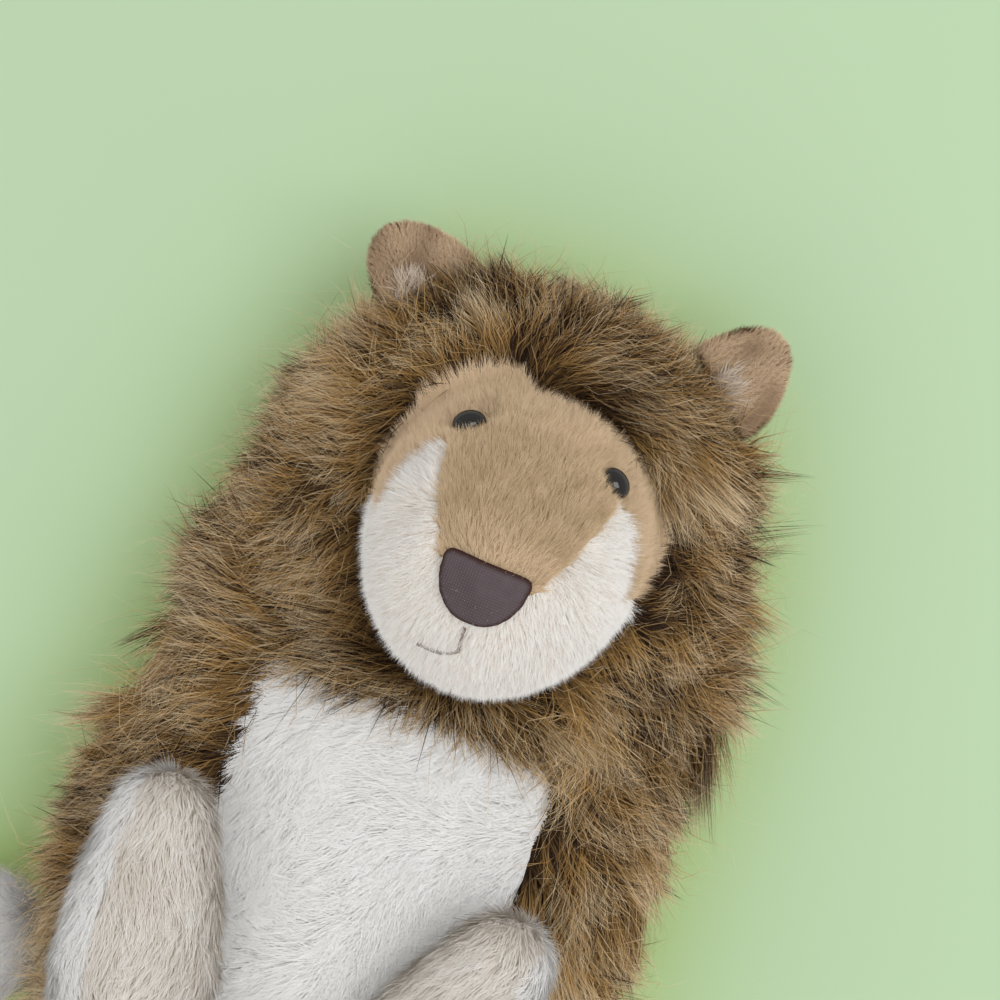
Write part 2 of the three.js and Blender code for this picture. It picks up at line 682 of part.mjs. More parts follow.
for (const [label, side] of Object.entries(SIDES)) {
  const mirrored = (degrees) => (side > 0 ? radians(degrees) : Math.PI - radians(degrees));
  const shoulder = placeOn(torsoForm, -ARM_BELOW_NECK, mirrored(ARM_FORWARD[label]));
  const inward = radians(ARM_INWARD);
  const reach = new THREE.Vector3(-side * Math.sin(inward), -Math.cos(inward), 0);
  addLimb(torso, `arm_${label}`, {
    ...shoulder,
    form: limbForm(ARM_LENGTH, SHOULDER_RADIUS, ARM_RADIUS, PAW_RADIUS),
    rootRadius: SHOULDER_RADIUS,
    heading: reach
      .addScaledVector(shoulder.outward, -reach.dot(shoulder.outward))
      .normalize()
      .addScaledVector(shoulder.outward, -Math.tan(radians(ARM_DIP))),
    hingeAxis: limbAxis,
    swings: swingSteps(0, SHOULDER_SWING),
    seamRoll: side * ARM_SEAM_ROLL,
    cloths: ["beige", "white"],
  });
  const hip = placeOn(torsoForm, -LEG_BELOW_NECK, (mirrored(LEG_FORWARD) + 2 * Math.PI) % (2 * Math.PI));
  const hipHeight = SPINE_HEIGHT + hip.point.z + hip.outward.z * (THIGH_RADIUS - ROOT_SINK);
  const drop = Math.asin((FOOT_RADIUS * 0.97 - hipHeight) / (LEG_LENGTH * 0.68));
  addLimb(torso, `leg_${label}`, {
    ...hip,
    form: limbForm(LEG_LENGTH, THIGH_RADIUS, LEG_RADIUS, FOOT_RADIUS),
    rootRadius: THIGH_RADIUS,
    heading: new THREE.Vector3(
      side * Math.sin(radians(LEG_SPLAY)) * Math.cos(drop),
      -Math.cos(radians(LEG_SPLAY)) * Math.cos(drop),
      Math.sin(drop),
    ),
    hingeAxis: limbAxis,
    swings: swingSteps(0, HIP_SWING),
    seamRoll: side * LEG_SEAM_ROLL,
    cloths: ["beige", "white"],
  });
}

const tailSeat = placeOn(torsoForm, -TAIL_BELOW_NECK, 1.5 * Math.PI);
const tailRise = (TAIL_RADIUS - FLOOR_FLAT - SPINE_HEIGHT - tailSeat.point.z) / TAIL_LENGTH;
addLimb(torso, "tail", {
  ...tailSeat,
  form: limbForm(TAIL_LENGTH, TAIL_ROOT_RADIUS, TAIL_RADIUS, TAIL_TIP_RADIUS),
  rootRadius: TAIL_ROOT_RADIUS,
  heading: new THREE.Vector3(0, -1, tailRise),
  hingeAxis: tailAxis,
  swings: swingSteps(-TAIL_SWING, TAIL_SWING),
  seamRoll: TAIL_SEAM_ROLL,
  cloths: ["coat", "paleTan"],
});

// The whole toy, its origin on the floor under the middle of the back

const wolf = new THREE.Group();
wolf.name = "plush_wolf";
torso.add(head);
torso.position.set(0, ORIGIN_BELOW_NECK, SPINE_HEIGHT);
wolf.add(torso);

export default wolf;
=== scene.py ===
"""Dresses the plush wolf: stuffed skins, sewn panels of pile, long mane and coat, face, ears and limbs."""

import math
from dataclasses import dataclass

import bmesh
import bpy
import numpy as np
from mathutils import Matrix, Vector
from mathutils.bvhtree import BVHTree
from mathutils.kdtree import KDTree


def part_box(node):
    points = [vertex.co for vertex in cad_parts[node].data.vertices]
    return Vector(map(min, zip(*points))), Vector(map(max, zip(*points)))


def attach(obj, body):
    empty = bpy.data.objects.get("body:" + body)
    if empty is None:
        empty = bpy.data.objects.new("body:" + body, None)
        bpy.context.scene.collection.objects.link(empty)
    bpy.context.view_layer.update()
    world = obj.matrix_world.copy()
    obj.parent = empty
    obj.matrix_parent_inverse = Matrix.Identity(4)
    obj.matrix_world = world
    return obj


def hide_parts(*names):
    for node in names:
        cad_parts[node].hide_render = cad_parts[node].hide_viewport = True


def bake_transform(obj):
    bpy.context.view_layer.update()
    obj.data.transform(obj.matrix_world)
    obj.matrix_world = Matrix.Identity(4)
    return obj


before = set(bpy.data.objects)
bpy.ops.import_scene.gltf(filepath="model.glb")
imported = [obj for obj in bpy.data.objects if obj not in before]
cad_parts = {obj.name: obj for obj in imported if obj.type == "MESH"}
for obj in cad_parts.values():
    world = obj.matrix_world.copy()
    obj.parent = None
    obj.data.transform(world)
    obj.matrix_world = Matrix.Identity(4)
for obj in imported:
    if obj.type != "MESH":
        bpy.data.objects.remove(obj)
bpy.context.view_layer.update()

bl_info = {
    "name": "Plush wolf",
    "version": (1, 0, 0),
    "blender": (4, 5, 0),
    "location": "View3D > Sidebar > Wolf",
    "description": "Stuffed skins, pile panels and long fur of a plush wolf lying on its back",
    "category": "Add Mesh",
}

# The face form: its middle at the root and the direction that it points in.
FACE_ROOT = np.array((0.003, 0.158, 0.092))
FACE_ACROSS = np.array((0.9994, 0.0, 0.0349))
FACE_AXIS = np.array((-0.0328, -0.3420, 0.9391))
FACE_DOWN = np.array((0.0119, -0.9397, -0.3418))

# The skin is cut at the neck seam through this point, between torso and head.
NECK_SEAM = (0.0, 0.0898, 0.055)

# Skins and hairs stay this far above the floor, and hairs differ by this much.
FLOOR_CLEAR, FLOOR_SPREAD = 0.0006, 0.0006

SIDES = ("left", "right")

# Weight of the parts of a skin that a step doesn't sow.
HARDLY = 1e-9

# Hairs that are sown on each skin; the panels that a step doesn't dress take none.
HAIR_COUNTS = {"coat": 128000, "belly": 112000, "mane": 128000, "face": 330000, "ear": 30000}
HAIR_COUNTS |= {"tuft": 700, "arm": 40000, "leg": 26000, "tail": 15000}


def paint(code):
    """The linear colour of a six digit code."""
    values = []
    for at in (0, 2, 4):
        level = int(code[at : at + 2], 16) / 255
        values.append(level / 12.92 if level <= 0.04045 else ((level + 0.055) / 1.055) ** 2.4)
    return tuple(values)


def length_of(label, words, size):
    return bpy.props.FloatProperty(
        name=label, description=words, default=size, min=0.0, unit="LENGTH", precision=5
    )


def colour_of(label, words, code):
    return bpy.props.FloatVectorProperty(
        name=label, description=words, default=paint(code), size=3, min=0.0, max=1.0, subtype="COLOR"
    )


class WolfPile(bpy.types.PropertyGroup):
    """How long and how thick the pile of each cloth is."""

    coat: length_of("Coat", "Length of the long fur on the back and flanks", 0.036)
    mane: length_of("Mane", "Length of the long fur of the hood", 0.036)
    belly: length_of("Belly", "Length of the white belly pile", 0.012)
    face: length_of("Face", "Length of the short pile on the face", 0.0064)
    limb: length_of("Limb", "Length of the pile on arms and legs", 0.0090)
    ear: length_of("Ear", "Length of the pile on the ears", 0.0036)
    tuft: length_of("Tuft", "Length of the tuft at the foot of each ear", 0.012)
    tail: length_of("Tail", "Length of the fur on the tail", 0.021)
    hair: length_of("Hair", "Width of one long hair at its root", 0.00034)
    nap: length_of("Nap", "Width of one hair of the short pile", 0.00026)
    seed: bpy.props.IntProperty(name="Seed", description="Start of the random lay of the hairs", default=7)


class WolfColours(bpy.types.PropertyGroup):
    """The colours of the cloths, the nose and the eyes."""

    coat_root: colour_of("Coat root", "Foot of the long hairs", "2a1806")
    coat_dark: colour_of("Coat dark", "Darker long hairs", "50330f")
    coat_light: colour_of("Coat light", "Lighter long hairs", "b99154")
    coat_tip: colour_of("Coat tip", "Ends of the long hairs", "f4e2bf")
    white: colour_of("White plush", "Cheeks and belly", "f7f7f6")
    white_shade: colour_of("White shade", "Darker hairs of the white plush", "eeecea")
    cheek: colour_of("Cheek plush", "Warm white of the cheeks", "fffaf2")
    tan: colour_of("Tan plush", "Bridge of the nose", "b0966f")
    tan_shade: colour_of("Tan shade", "Foot of the hairs on the bridge", "b09469")
    brow: colour_of("Brow plush", "Pale tan around the eyes", "edd2af")
    stain: colour_of("Stain", "Airbrushed brown over the eyes", "6e4527")
    fleck: colour_of("Fleck", "Tan flecks in the white beside the nose", "b98f66")
    beige: colour_of("Beige plush", "Top of the arms", "e6e1d8")
    beige_shade: colour_of("Beige shade", "Darker hairs of the arms", "d9cfc3")
    ear: colour_of("Ear plush", "Both sides of the ears", "c6aa8a")
    ear_shade: colour_of("Ear shade", "Darker hairs of the ears", "a78b6e")
    nose: colour_of("Nose cloth", "Woven cloth of the nose", "6f6266")
    nose_edge: colour_of("Nose edge", "Turned in edge of the nose cloth", "3a231d")
    thread: colour_of("Thread", "Mouth stitch and seams", "86654f")
    eye: colour_of("Eye", "Glossy bead of the eyes", "0c0a09")
    floor: colour_of("Floor", "The plain floor under the toy", "bad4b0")


def pile_sizes():
    return bpy.context.scene.wolf_pile


def colours():
    return bpy.context.scene.wolf_colours


def seeded(step):
    """Random draws of one step, which don't depend on the other steps."""
    return np.random.default_rng(pile_sizes().seed + step)


def only(obj):
    """Selects one object and nothing else."""
    bpy.ops.object.select_all(action="DESELECT")
    obj.select_set(True)
    bpy.context.view_layer.objects.active = obj
    return obj


def new_object(name, data):
    obj = bpy.data.objects.new(name, data)
    bpy.context.scene.collection.objects.link(obj)
    return obj


def unit(vectors):
    return vectors / np.maximum(np.linalg.norm(vectors, axis=-1, keepdims=True), 1e-12)


def smooth_step(low, high, values):
    t = np.clip((values - low) / (high - low), 0.0, 1.0)
    return t * t * (3.0 - 2.0 * t)


WAVES = 7
WAVE_SPREAD = (0.7, 1.5)
WAVE_HEIGHT = 0.9
FULL_TURN = 2.0 * math.pi


def ripple(points, span, rng):
    """A smooth random value, about -1 to 1, that changes over the given span."""
    total = np.zeros(len(points))
    for _ in range(WAVES):
        axis = unit(rng.normal(size=3))
        pace = FULL_TURN / (span * rng.uniform(*WAVE_SPREAD))
        total += np.sin(points @ axis * pace + rng.uniform(0.0, FULL_TURN))
    return total / math.sqrt(WAVES) * WAVE_HEIGHT


def ways(across, along, up):
    """One direction for each point; a part that is the same for all may be a plain number."""
    return np.stack(np.broadcast_arrays(across, along, up), axis=1)


def face_place(points):
    """Across, along and down on the face form."""
    local = points - FACE_ROOT
    return local @ FACE_ACROSS, local @ FACE_AXIS, local @ FACE_DOWN


# Skins: the cloth that lies on the stuffing, under the pile.


def cloth_over(name, nodes, voxel, rounds, plugs=()):
    """One closed skin over the given stuffing solids, evened out like cloth under tension."""
    work = bmesh.new()
    for node in nodes:
        work.from_mesh(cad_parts[node].data)
    for middle, radius in plugs:
        place = Matrix.Translation(Vector(middle))
        bmesh.ops.create_icosphere(work, subdivisions=3, radius=radius, matrix=place)
    bmesh.ops.remove_doubles(work, verts=work.verts, dist=1e-6)
    mesh = bpy.data.meshes.new(name)
    work.to_mesh(mesh)
    work.free()
    obj = only(new_object(name, mesh))
    mesh.remesh_voxel_size = voxel
    bpy.ops.object.voxel_remesh()
    bpy.ops.object.mode_set(mode="EDIT")
    bpy.ops.mesh.select_all(action="SELECT")
    bpy.ops.mesh.vertices_smooth(factor=0.5, repeat=rounds)
    bpy.ops.object.mode_set(mode="OBJECT")
    bpy.ops.object.shade_smooth()
    return obj


def cut_at(obj, point, normal, keep_far):
    """Cuts a closed skin at a plane and closes the cut."""
    only(obj)
    bpy.ops.object.mode_set(mode="EDIT")
    bpy.ops.mesh.select_all(action="SELECT")
    bpy.ops.mesh.bisect(
        plane_co=point, plane_no=normal, use_fill=True, clear_inner=keep_far, clear_outer=not keep_far
    )
    bpy.ops.object.mode_set(mode="OBJECT")
    return obj


def corners(obj):
    mesh = obj.data
    flat = np.empty(len(mesh.vertices) * 3)
    mesh.vertices.foreach_get("co", flat)
    return flat.reshape(-1, 3)


def move_corners(obj, places):
    obj.data.vertices.foreach_set("co", places.ravel())
    obj.data.update()


def outward_of(obj):
    """The outward direction at each corner of a skin."""
    flat = np.empty(len(obj.data.vertices) * 3)
    obj.data.vertex_normals.foreach_get("vector", flat)
    return flat.reshape(-1, 3)


class Panels:
    """Tells which sewn panel of the toy lies over a point of a skin."""

    def __init__(self, *nodes):
        self.nodes = nodes
        points = []
        faces = []
        owners = []
        for number, node in enumerate(nodes):
            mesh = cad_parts[node].data
            start = len(points)
            points.extend(v.co for v in mesh.vertices)
            faces.extend([start + i for i in p.vertices] for p in mesh.polygons)
            owners.extend([number] * len(mesh.polygons))
        self.owners = np.array(owners)
        self.tree = BVHTree.FromPolygons(points, faces)

    def over(self, points):
        found = [self.tree.find_nearest(p)[2] for p in points]
        return self.owners[np.array(found, dtype=int)]

    def away(self, points, reach):
        """Distance to the nearest panel, up to the given reach."""
        hits = (self.tree.find_nearest(p, reach)[3] for p in points)
        return np.array([reach if d is None else d for d in hits])


def triangles_of(obj):
    mesh = obj.data
    mesh.calc_loop_triangles()
    flat = np.empty(len(mesh.loop_triangles) * 3, dtype=np.int32)
    mesh.loop_triangles.foreach_get("vertices", flat)
    return flat.reshape(-1, 3)


def scatter(obj, count, rng, weight=None):
    """Random points on a skin with the skin's outward direction at each."""
    places = corners(obj)
    outward = outward_of(obj)
    tris = triangles_of(obj)
    a, b, c = (places[tris[:, i]] for i in range(3))
    share = np.linalg.norm(np.cross(b - a, c - a), axis=1)
    if weight is not None:
        share = share * weight((a + b + c) / 3.0, unit(outward[tris].sum(axis=1)))
    pick = rng.choice(len(tris), count, p=share / share.sum())
    near = np.sqrt(rng.random(count))[:, None]
    side = rng.random(count)[:, None]
    shares = (1.0 - near, near * (1.0 - side), near * side)
    points = sum(s * places[tris[pick, i]] for i, s in enumerate(shares))
    normals = unit(sum(s * outward[tris[pick, i]] for i, s in enumerate(shares)))
    return points, normals


# Pile: every hair is a tapering ribbon rooted in a skin.


@dataclass
class Nap:
    """How a pile grows: its length, lean, wave and how the hairs hold together."""

    length: float
    width: float
    uneven: float = 0.18  # spread of the lengths
    lift: float = 0.9  # angle off the skin at the root
    lay: float = 0.25  # angle off the skin at the tip
    stray: float = 0.25  # spread of the combing
    steps: int = 3  # stretches of one hair
    bunch: int = 14  # hairs to a wisp
    hold: float = 0.55  # how far a wisp closes at its tip
    lock: int = 120  # hairs to a lock
    tousle: float = 0.0  # how much the locks differ
    clump: float = 0.0  # how far a lock closes at its tip
    wave: float = 0.05
    turns: float = 1.2  # waves in one hair
    loose: float = 0.12  # share of hairs that keep to no wisp
    droop: float = 0.0
    taper: float = 0.85
    soft: float = 0.5  # how far the skin's direction lights the hair
    roll: float = 0.45  # spread of the turn about the hair's length
    guard: float = 0.0  # share of guard hairs
    fuzz: float = 0.0  # how far the hair is lit as if it faced up


# What long fur, soft pile and cropped pile have in common.
LONG_FUR = {"uneven": 0.22, "steps": 4, "soft": 0.35, "guard": 0.34}
SOFT_PILE = {"steps": 2, "wave": 0.05, "loose": 0.05, "soft": 0.95, "roll": 0.2}
CROPPED_PILE = {"lift": 0.95, "lay": 0.7, "steps": 1, "bunch": 9, "wave": 0.0, "taper": 0.5, "roll": 0.3}

# Guard hairs against the wool below them.
GUARD_LENGTH, WOOL_LENGTH = 1.16, 0.82
GUARD_THICK, WOOL_THICK = 0.55, 1.4
GUARD_TONE, WOOL_TONE = 0.40, -0.30
GUARD_WAVE = 1.7
GUARD_GRIP = 0.6
WOOL_STEPS = 2
WOOL_SOFT = 0.6

# How single hairs differ: in length, in thickness, in the angles of root and tip and in their grip.
LENGTH_RANGE = (0.4, 1.6)
GIRTH_RANGE = (0.7, 1.25)
GRIP_RANGE = (0.45, 1.15)
LIFT_SPREAD, LAY_SPREAD, LAY_OVER_LIFT = 0.16, 0.12, 0.2

# A loose hair strays further, is paler and hardly held.
LOOSE_STRAY, LOOSE_TONE, LOOSE_GRIP = 2.2, 0.15, 0.05

# How locks differ in lift, length and tone, and how far their edges mingle. A lock's tone is partly its own
# colour and partly painted light and shade between locks.
LOCK_LIFT, LOCK_LENGTH, LOCK_TONE, LOCK_BLUR = 0.35, 0.3, 0.5, 0.0012
LOCK_RANGE = (0.6, 1.4)

# The hair map: a margin, the tones across it, the width of one hair in it, and the way from root to tip.
MAP_EDGE, MAP_TONES, MAP_HAIR, MAP_WAY = 0.01, 0.96, 0.014, 0.98


def nearest_of(points, chosen):
    """For each point, which of the chosen points is nearest."""
    tree = KDTree(len(chosen))
    for number, index in enumerate(chosen):
        tree.insert(points[index], number)
    tree.balance()
    return np.array([chosen[tree.find(p)[1]] for p in points])


@dataclass
class Strands:
    """Where each hair of a pile starts, the way it is combed, its tone, and how it is lifted or shortened."""

    roots: np.ndarray
    normals: np.ndarray
    comb: np.ndarray
    tones: np.ndarray
    lift: np.ndarray | float
    scale: np.ndarray | float = 1.0

    def __post_init__(self):
        self.lift = np.broadcast_to(self.lift, len(self.roots))
        self.scale = np.broadcast_to(self.scale, len(self.roots))
        self.guard = np.zeros(len(self.roots), dtype=bool)

    def pick(self, chosen):
        parts = (self.roots, self.normals, self.comb, self.tones, self.lift, self.scale)
        return Strands(*(part[chosen] for part in parts))


def hair_paths(strands, nap, rng):
    """Points of every hair from root to tip, as (step, hair, xyz), and the tone that its lock adds."""
    roots, normals, comb = strands.roots, strands.normals, strands.comb
    count = len(roots)
    length = nap.length * np.clip(rng.normal(1.0, nap.uneven, count), *LENGTH_RANGE) * strands.scale
    length = length * np.where(strands.guard, GUARD_LENGTH, WOOL_LENGTH if nap.guard else 1.0)
    start = strands.lift + rng.normal(0.0, LIFT_SPREAD, count)
    across = np.cross(normals, comb)
    guides = rng.choice(count, max(1, count // nap.bunch), replace=False)
    guide = nearest_of(roots, guides)
    loose = rng.random(count) < nap.loose
    yaw = rng.normal(0.0, nap.stray, count)[guide] + rng.normal(0.0, nap.stray * 0.5, count)
    yaw = np.where(loose, yaw * LOOSE_STRAY, yaw)
    shade = LOOSE_TONE * loose
    lock = guide
    if nap.tousle:
        heads = rng.choice(count, max(1, count // nap.lock), replace=False)
        lock = nearest_of(roots + rng.normal(0.0, LOCK_BLUR, roots.shape), heads)
        swing, rear, size, lock_tone_and_shade = nap.tousle * rng.normal(0.0, 1.0, (4, count))[:, lock]
        yaw = yaw + swing
        start = start + LOCK_LIFT * rear
        length = length * np.clip(1.0 + LOCK_LENGTH * size, *LOCK_RANGE)
        # A lock's tone: partly its own colour, partly painted light and shade between locks.
        shade = shade + LOCK_TONE * lock_tone_and_shade
    heading = comb * np.cos(yaw)[:, None] + across * np.sin(yaw)[:, None]
    finish = np.minimum(nap.lay + rng.normal(0.0, LAY_SPREAD, count), start + LAY_OVER_LIFT)
    path = np.empty((nap.steps + 1, count, 3))
    path[0] = roots
    for step in range(1, nap.steps + 1):
        middle = (step - 0.5) / nap.steps
        lean = start + (finish - start) * middle**0.7
        way = heading * np.cos(lean)[:, None] + normals * np.sin(lean)[:, None]
        way[:, 2] -= nap.droop * middle
        path[step] = path[step - 1] + unit(way) * (length / nap.steps)[:, None]
    phase = rng.uniform(0.0, FULL_TURN, count)
    own = rng.uniform(0.0, FULL_TURN, count)
    bend = np.cross(normals, heading)
    for step in range(1, nap.steps + 1):
        s = step / nap.steps
        turn = nap.turns * 2.0 * math.pi * s + phase[guide]
        sway = np.sin(turn) + 0.5 * np.sin(4.0 * s + own)
        heave = np.cos(turn)
        size = (length * nap.wave * s * np.where(strands.guard, GUARD_WAVE, 1.0))[:, None]
        path[step] += size * (bend * sway[:, None] + normals * 0.5 * heave[:, None])
    drawn = path.copy()
    grip = np.where(loose, LOOSE_GRIP, nap.hold * rng.uniform(*GRIP_RANGE, count))
    grip = grip * np.where(strands.guard, GUARD_GRIP, 1.0)
    for step in range(1, nap.steps + 1):
        s = step / nap.steps
        near = np.clip(grip * s**0.9, 0.0, 0.95)[:, None]
        far = np.where(loose, 0.0, nap.clump * s**1.3)[:, None]
        path[step] += (drawn[step][guide] - drawn[step]) * near * (1.0 - far)
        path[step] += (drawn[step][lock] - drawn[step]) * far
    np.maximum(path[:, :, 2], FLOOR_CLEAR + FLOOR_SPREAD * rng.random(count), out=path[:, :, 2])
    return path, shade


def ribbons(path, normals, nap, tones, rng, thick, soft):
    """Corners, faces, map and lit directions of tapering ribbons along the given paths."""
    steps, count = path.shape[0] - 1, path.shape[1]
    along = unit(np.gradient(path, axis=0))
    roll = rng.normal(0.0, nap.roll, count)[:, None]
    across = unit(np.cross(along, normals[None]))
    facing = np.cross(across, along)
    across = across * np.cos(roll) + facing * np.sin(roll)
    facing = unit(soft * normals[None] + (1.0 - soft) * np.cross(across, along))
    facing = unit(facing + nap.fuzz * np.array((0.0, 0.0, 1.0)))
    stay = np.linspace(0.0, 1.0, steps + 1)[:-1]
    half = 0.5 * nap.width * (1.0 - nap.taper * stay**2.0)
    girth = thick * rng.uniform(*GIRTH_RANGE, count)
    offset = across[:-1] * (half[:, None] * girth)[:, :, None]
    sides = np.stack((path[:-1] - offset, path[:-1] + offset), axis=2)
    body = sides.transpose(1, 0, 2, 3).reshape(count, steps * 2, 3)
    places = np.concatenate((body, path[-1][:, None]), axis=1)
    per_hair = steps * 2 + 1
    base = (np.arange(count) * per_hair)[:, None]
    quads = [np.empty((0, 4), dtype=int)]
    for low in range(0, 2 * steps - 2, 2):
        quads.append(base + np.array((low, low + 1, low + 3, low + 2)))
    tips = base + np.array((2 * steps - 2, 2 * steps - 1, 2 * steps))
    way = np.concatenate((np.repeat(stay, 2), (1.0,)))
    side = np.concatenate((np.tile((0.0, 1.0), steps), (0.5,)))
    tone = MAP_EDGE + MAP_TONES * np.clip(tones, 0.0, 1.0)
    spots = np.empty((count, per_hair, 2))
    spots[:, :, 0] = tone[:, None] + MAP_HAIR * side
    spots[:, :, 1] = MAP_EDGE + MAP_WAY * way
    lit = np.repeat(facing[:-1].transpose(1, 0, 2), 2, axis=1)
    lit = np.concatenate((lit, facing[-1][:, None]), axis=1)
    return places.reshape(-1, 3), np.concatenate(quads), tips, spots.reshape(-1, 2), lit.reshape(-1, 3)


def hair_mesh(name, sets):
    """One mesh of all the ribbons, with the tone of each hair and the way along it in its own map."""
    first = np.cumsum([0] + [len(each[0]) for each in sets])
    quads = np.concatenate([each[1] + at for each, at in zip(sets, first)])
    tips = np.concatenate([each[2] + at for each, at in zip(sets, first)])
    places, spots, lit = (np.concatenate([each[i] for each in sets]) for i in (0, 3, 4))
    loops = np.concatenate((quads.ravel(), tips.ravel())).astype(np.int32)
    starts = np.concatenate((np.arange(len(quads)) * 4, len(quads) * 4 + np.arange(len(tips)) * 3))
    mesh = bpy.data.meshes.new(name)
    mesh.vertices.add(len(places))
    mesh.vertices.foreach_set("co", places.ravel())
    mesh.loops.add(len(loops))
    mesh.loops.foreach_set("vertex_index", loops)
    mesh.polygons.add(len(starts))
    mesh.polygons.foreach_set("loop_start", starts.astype(np.int32))
    mesh.update(calc_edges=True)
    mesh.polygons.foreach_set("use_smooth", np.ones(len(starts), dtype=bool))
    chart = mesh.uv_layers.new(name="OFBake")
    chart.data.foreach_set("uv", spots[loops].ravel())
    mesh.normals_split_custom_set_from_vertices(lit)
    return mesh


def grow(name, strands, nap, material, rng):
    """One piece of pile. Long fur has short dark wool below and fine pale guard hairs over it."""
    if nap.guard:
        strands.guard = rng.random(len(strands.roots)) < nap.guard
        strands.tones = strands.tones + np.where(strands.guard, GUARD_TONE, WOOL_TONE)
    path, shade = hair_paths(strands, nap, rng)
    tones = strands.tones + shade
    layers = [(slice(None), slice(None), 1.0, nap.soft)]
    if nap.guard:
        wool_rows = np.linspace(0, nap.steps, WOOL_STEPS + 1).astype(int)
        layers = [
            (strands.guard, slice(None), GUARD_THICK, nap.soft),
            (~strands.guard, wool_rows, WOOL_THICK, WOOL_SOFT),
        ]
    sets = [
        ribbons(path[rows][:, chosen], strands.normals[chosen], nap, tones[chosen], rng, thick, soft)
        for chosen, rows, thick, soft in layers
    ]
    obj = new_object(name, hair_mesh(name, sets))
    obj.data.materials.append(material)
    return obj


def laid(direction, normals):
    """A direction laid flat on the skin."""
    return unit(direction - normals * np.sum(direction * normals, axis=1, keepdims=True))


def turned(comb, normals, angle):
    return comb * np.cos(angle)[:, None] + np.cross(normals, comb) * np.sin(angle)[:, None]


def combed(direction, points, normals, sway, span, rng):
    """A direction laid flat on the skin, swaying from place to place."""
    return turned(laid(direction, normals), normals, sway * ripple(points, span, rng))


# Finishes.


COLOUR, VALUE = "NodeSocketColor", "NodeSocketFloat"


def opaque(colour):
    return (*colour, 1.0)


def feed(tree, value, socket):
    """Links a socket to another one, or sets it to a plain value or colour."""
    if hasattr(value, "is_output"):
        tree.links.new(value, socket)
    elif isinstance(value, float):
        socket.default_value = value
    else:
        socket.default_value = opaque(value)


def node_at(tree, kind, **inputs):
    """A new node with its inputs fed by name."""
    node = tree.nodes.new(kind)
    for key, value in inputs.items():
        feed(tree, value, node.inputs[key.replace("_", " ")])
    return node


def mixer(tree, factor, first, second):
    node = tree.nodes.new("ShaderNodeMix")
    node.data_type = "RGBA"
    for at, value in ((0, factor), (6, first), (7, second)):
        feed(tree, value, node.inputs[at])
    return node.outputs[2]


def ramp_between(tree, value, low, high):
    node = node_at(tree, "ShaderNodeMapRange", Value=value, From_Min=low, From_Max=high)
    node.interpolation_type = "SMOOTHSTEP"
    return node.outputs["Result"]


def reckon(tree, operation, *values):
    """The result of one sum of values."""
    node = tree.nodes.new("ShaderNodeMath")
    node.operation = operation
    for socket, value in zip(node.inputs, values):
        feed(tree, value, socket)
    return node.outputs[0]


def clouded(tree, scale, first, second):
    """A colour that drifts between two others in soft clouds."""
    place = tree.nodes.new("ShaderNodeTexCoord")
    cloud = node_at(tree, "ShaderNodeTexNoise", Vector=place.outputs["Object"], Scale=scale)
    return mixer(tree, cloud.outputs["Fac"], first, second)


def new_group(name, inputs, outputs):
    """A shader node group with the given sockets, what it is given and where its result goes."""
    group = bpy.data.node_groups.new(name, "ShaderNodeTree")
    for way, sockets in (("INPUT", inputs), ("OUTPUT", outputs)):
        for label, kind in sockets.items():
            group.interface.new_socket(label, in_out=way, socket_type=kind)
    given = group.nodes.new("NodeGroupInput")
    result = group.nodes.new("NodeGroupOutput")
    return group, given.outputs, result.inputs


# Tones between which the tips of hairs grow pale, and those below which hairs are stained or flecked.
PALE_TONES = (0.1, 0.7)
STAIN_TONES = (0.03, 0.16)


def hair_colour_group():
    """Colour of a hair: darker at its foot, between two tones in its length, paler at its tip.

    The lowest tones are stained or flecked hairs.
    """
    found = bpy.data.node_groups.get("hair_colour")
    if found:
        return found
    shades = dict.fromkeys(("Foot", "Stain", "Dark", "Light", "Tip"), COLOUR)
    reaches = dict.fromkeys(("Foot Reach", "Tip Start"), VALUE)
    group, given, result = new_group("hair_colour", shades | reaches, {"Color": COLOUR})
    chart = group.nodes.new("ShaderNodeUVMap")
    chart.uv_map = "OFBake"
    parts = node_at(group, "ShaderNodeSeparateXYZ", Vector=chart.outputs["UV"])
    tone, way = parts.outputs["X"], parts.outputs["Y"]
    body = mixer(group, tone, given["Dark"], given["Light"])
    tip = ramp_between(group, way, given["Tip Start"], 1.0)
    tipped = reckon(group, "MULTIPLY", tip, ramp_between(group, tone, *PALE_TONES))
    ended = mixer(group, tipped, body, given["Tip"])
    foot = ramp_between(group, way, 0.0, given["Foot Reach"])
    footed = mixer(group, foot, given["Foot"], ended)
    clean = ramp_between(group, tone, *STAIN_TONES)
    group.links.new(mixer(group, clean, given["Stain"], footed), result["Color"])
    return group


def plain_material(name, rough, specular=0.5):
    material = bpy.data.materials.new(name)
    material.use_nodes = True
    tree = material.node_tree
    surface = tree.nodes["Principled BSDF"]
    surface.inputs["Roughness"].default_value = rough
    surface.inputs["Specular IOR Level"].default_value = specular
    return material, tree, surface


# Colours of each kind of hair at its foot, dark and light in its length, at its tip and where it is
# stained, and how far along the hair its foot reaches.
HAIRS = {
    "coat": ("coat_root", "coat_dark", "coat_light", "coat_tip", "coat_root", 0.6),
    "white": ("white_shade", "white_shade", "white", "white", "fleck", 0.3),
    "cheek": ("cheek", "cheek", "cheek", "white", "fleck", 0.3),
    "tan": ("tan_shade", "tan", "brow", "brow", "stain", 0.35),
    "beige": ("beige_shade", "beige_shade", "beige", "white", "beige_shade", 0.4),
    "ear": ("ear_shade", "ear_shade", "ear", "brow", "ear_shade", 0.3),
    "tuft": ("ear_shade", "ear", "beige", "beige", "ear_shade", 0.5),
}
TIP_START = 0.5


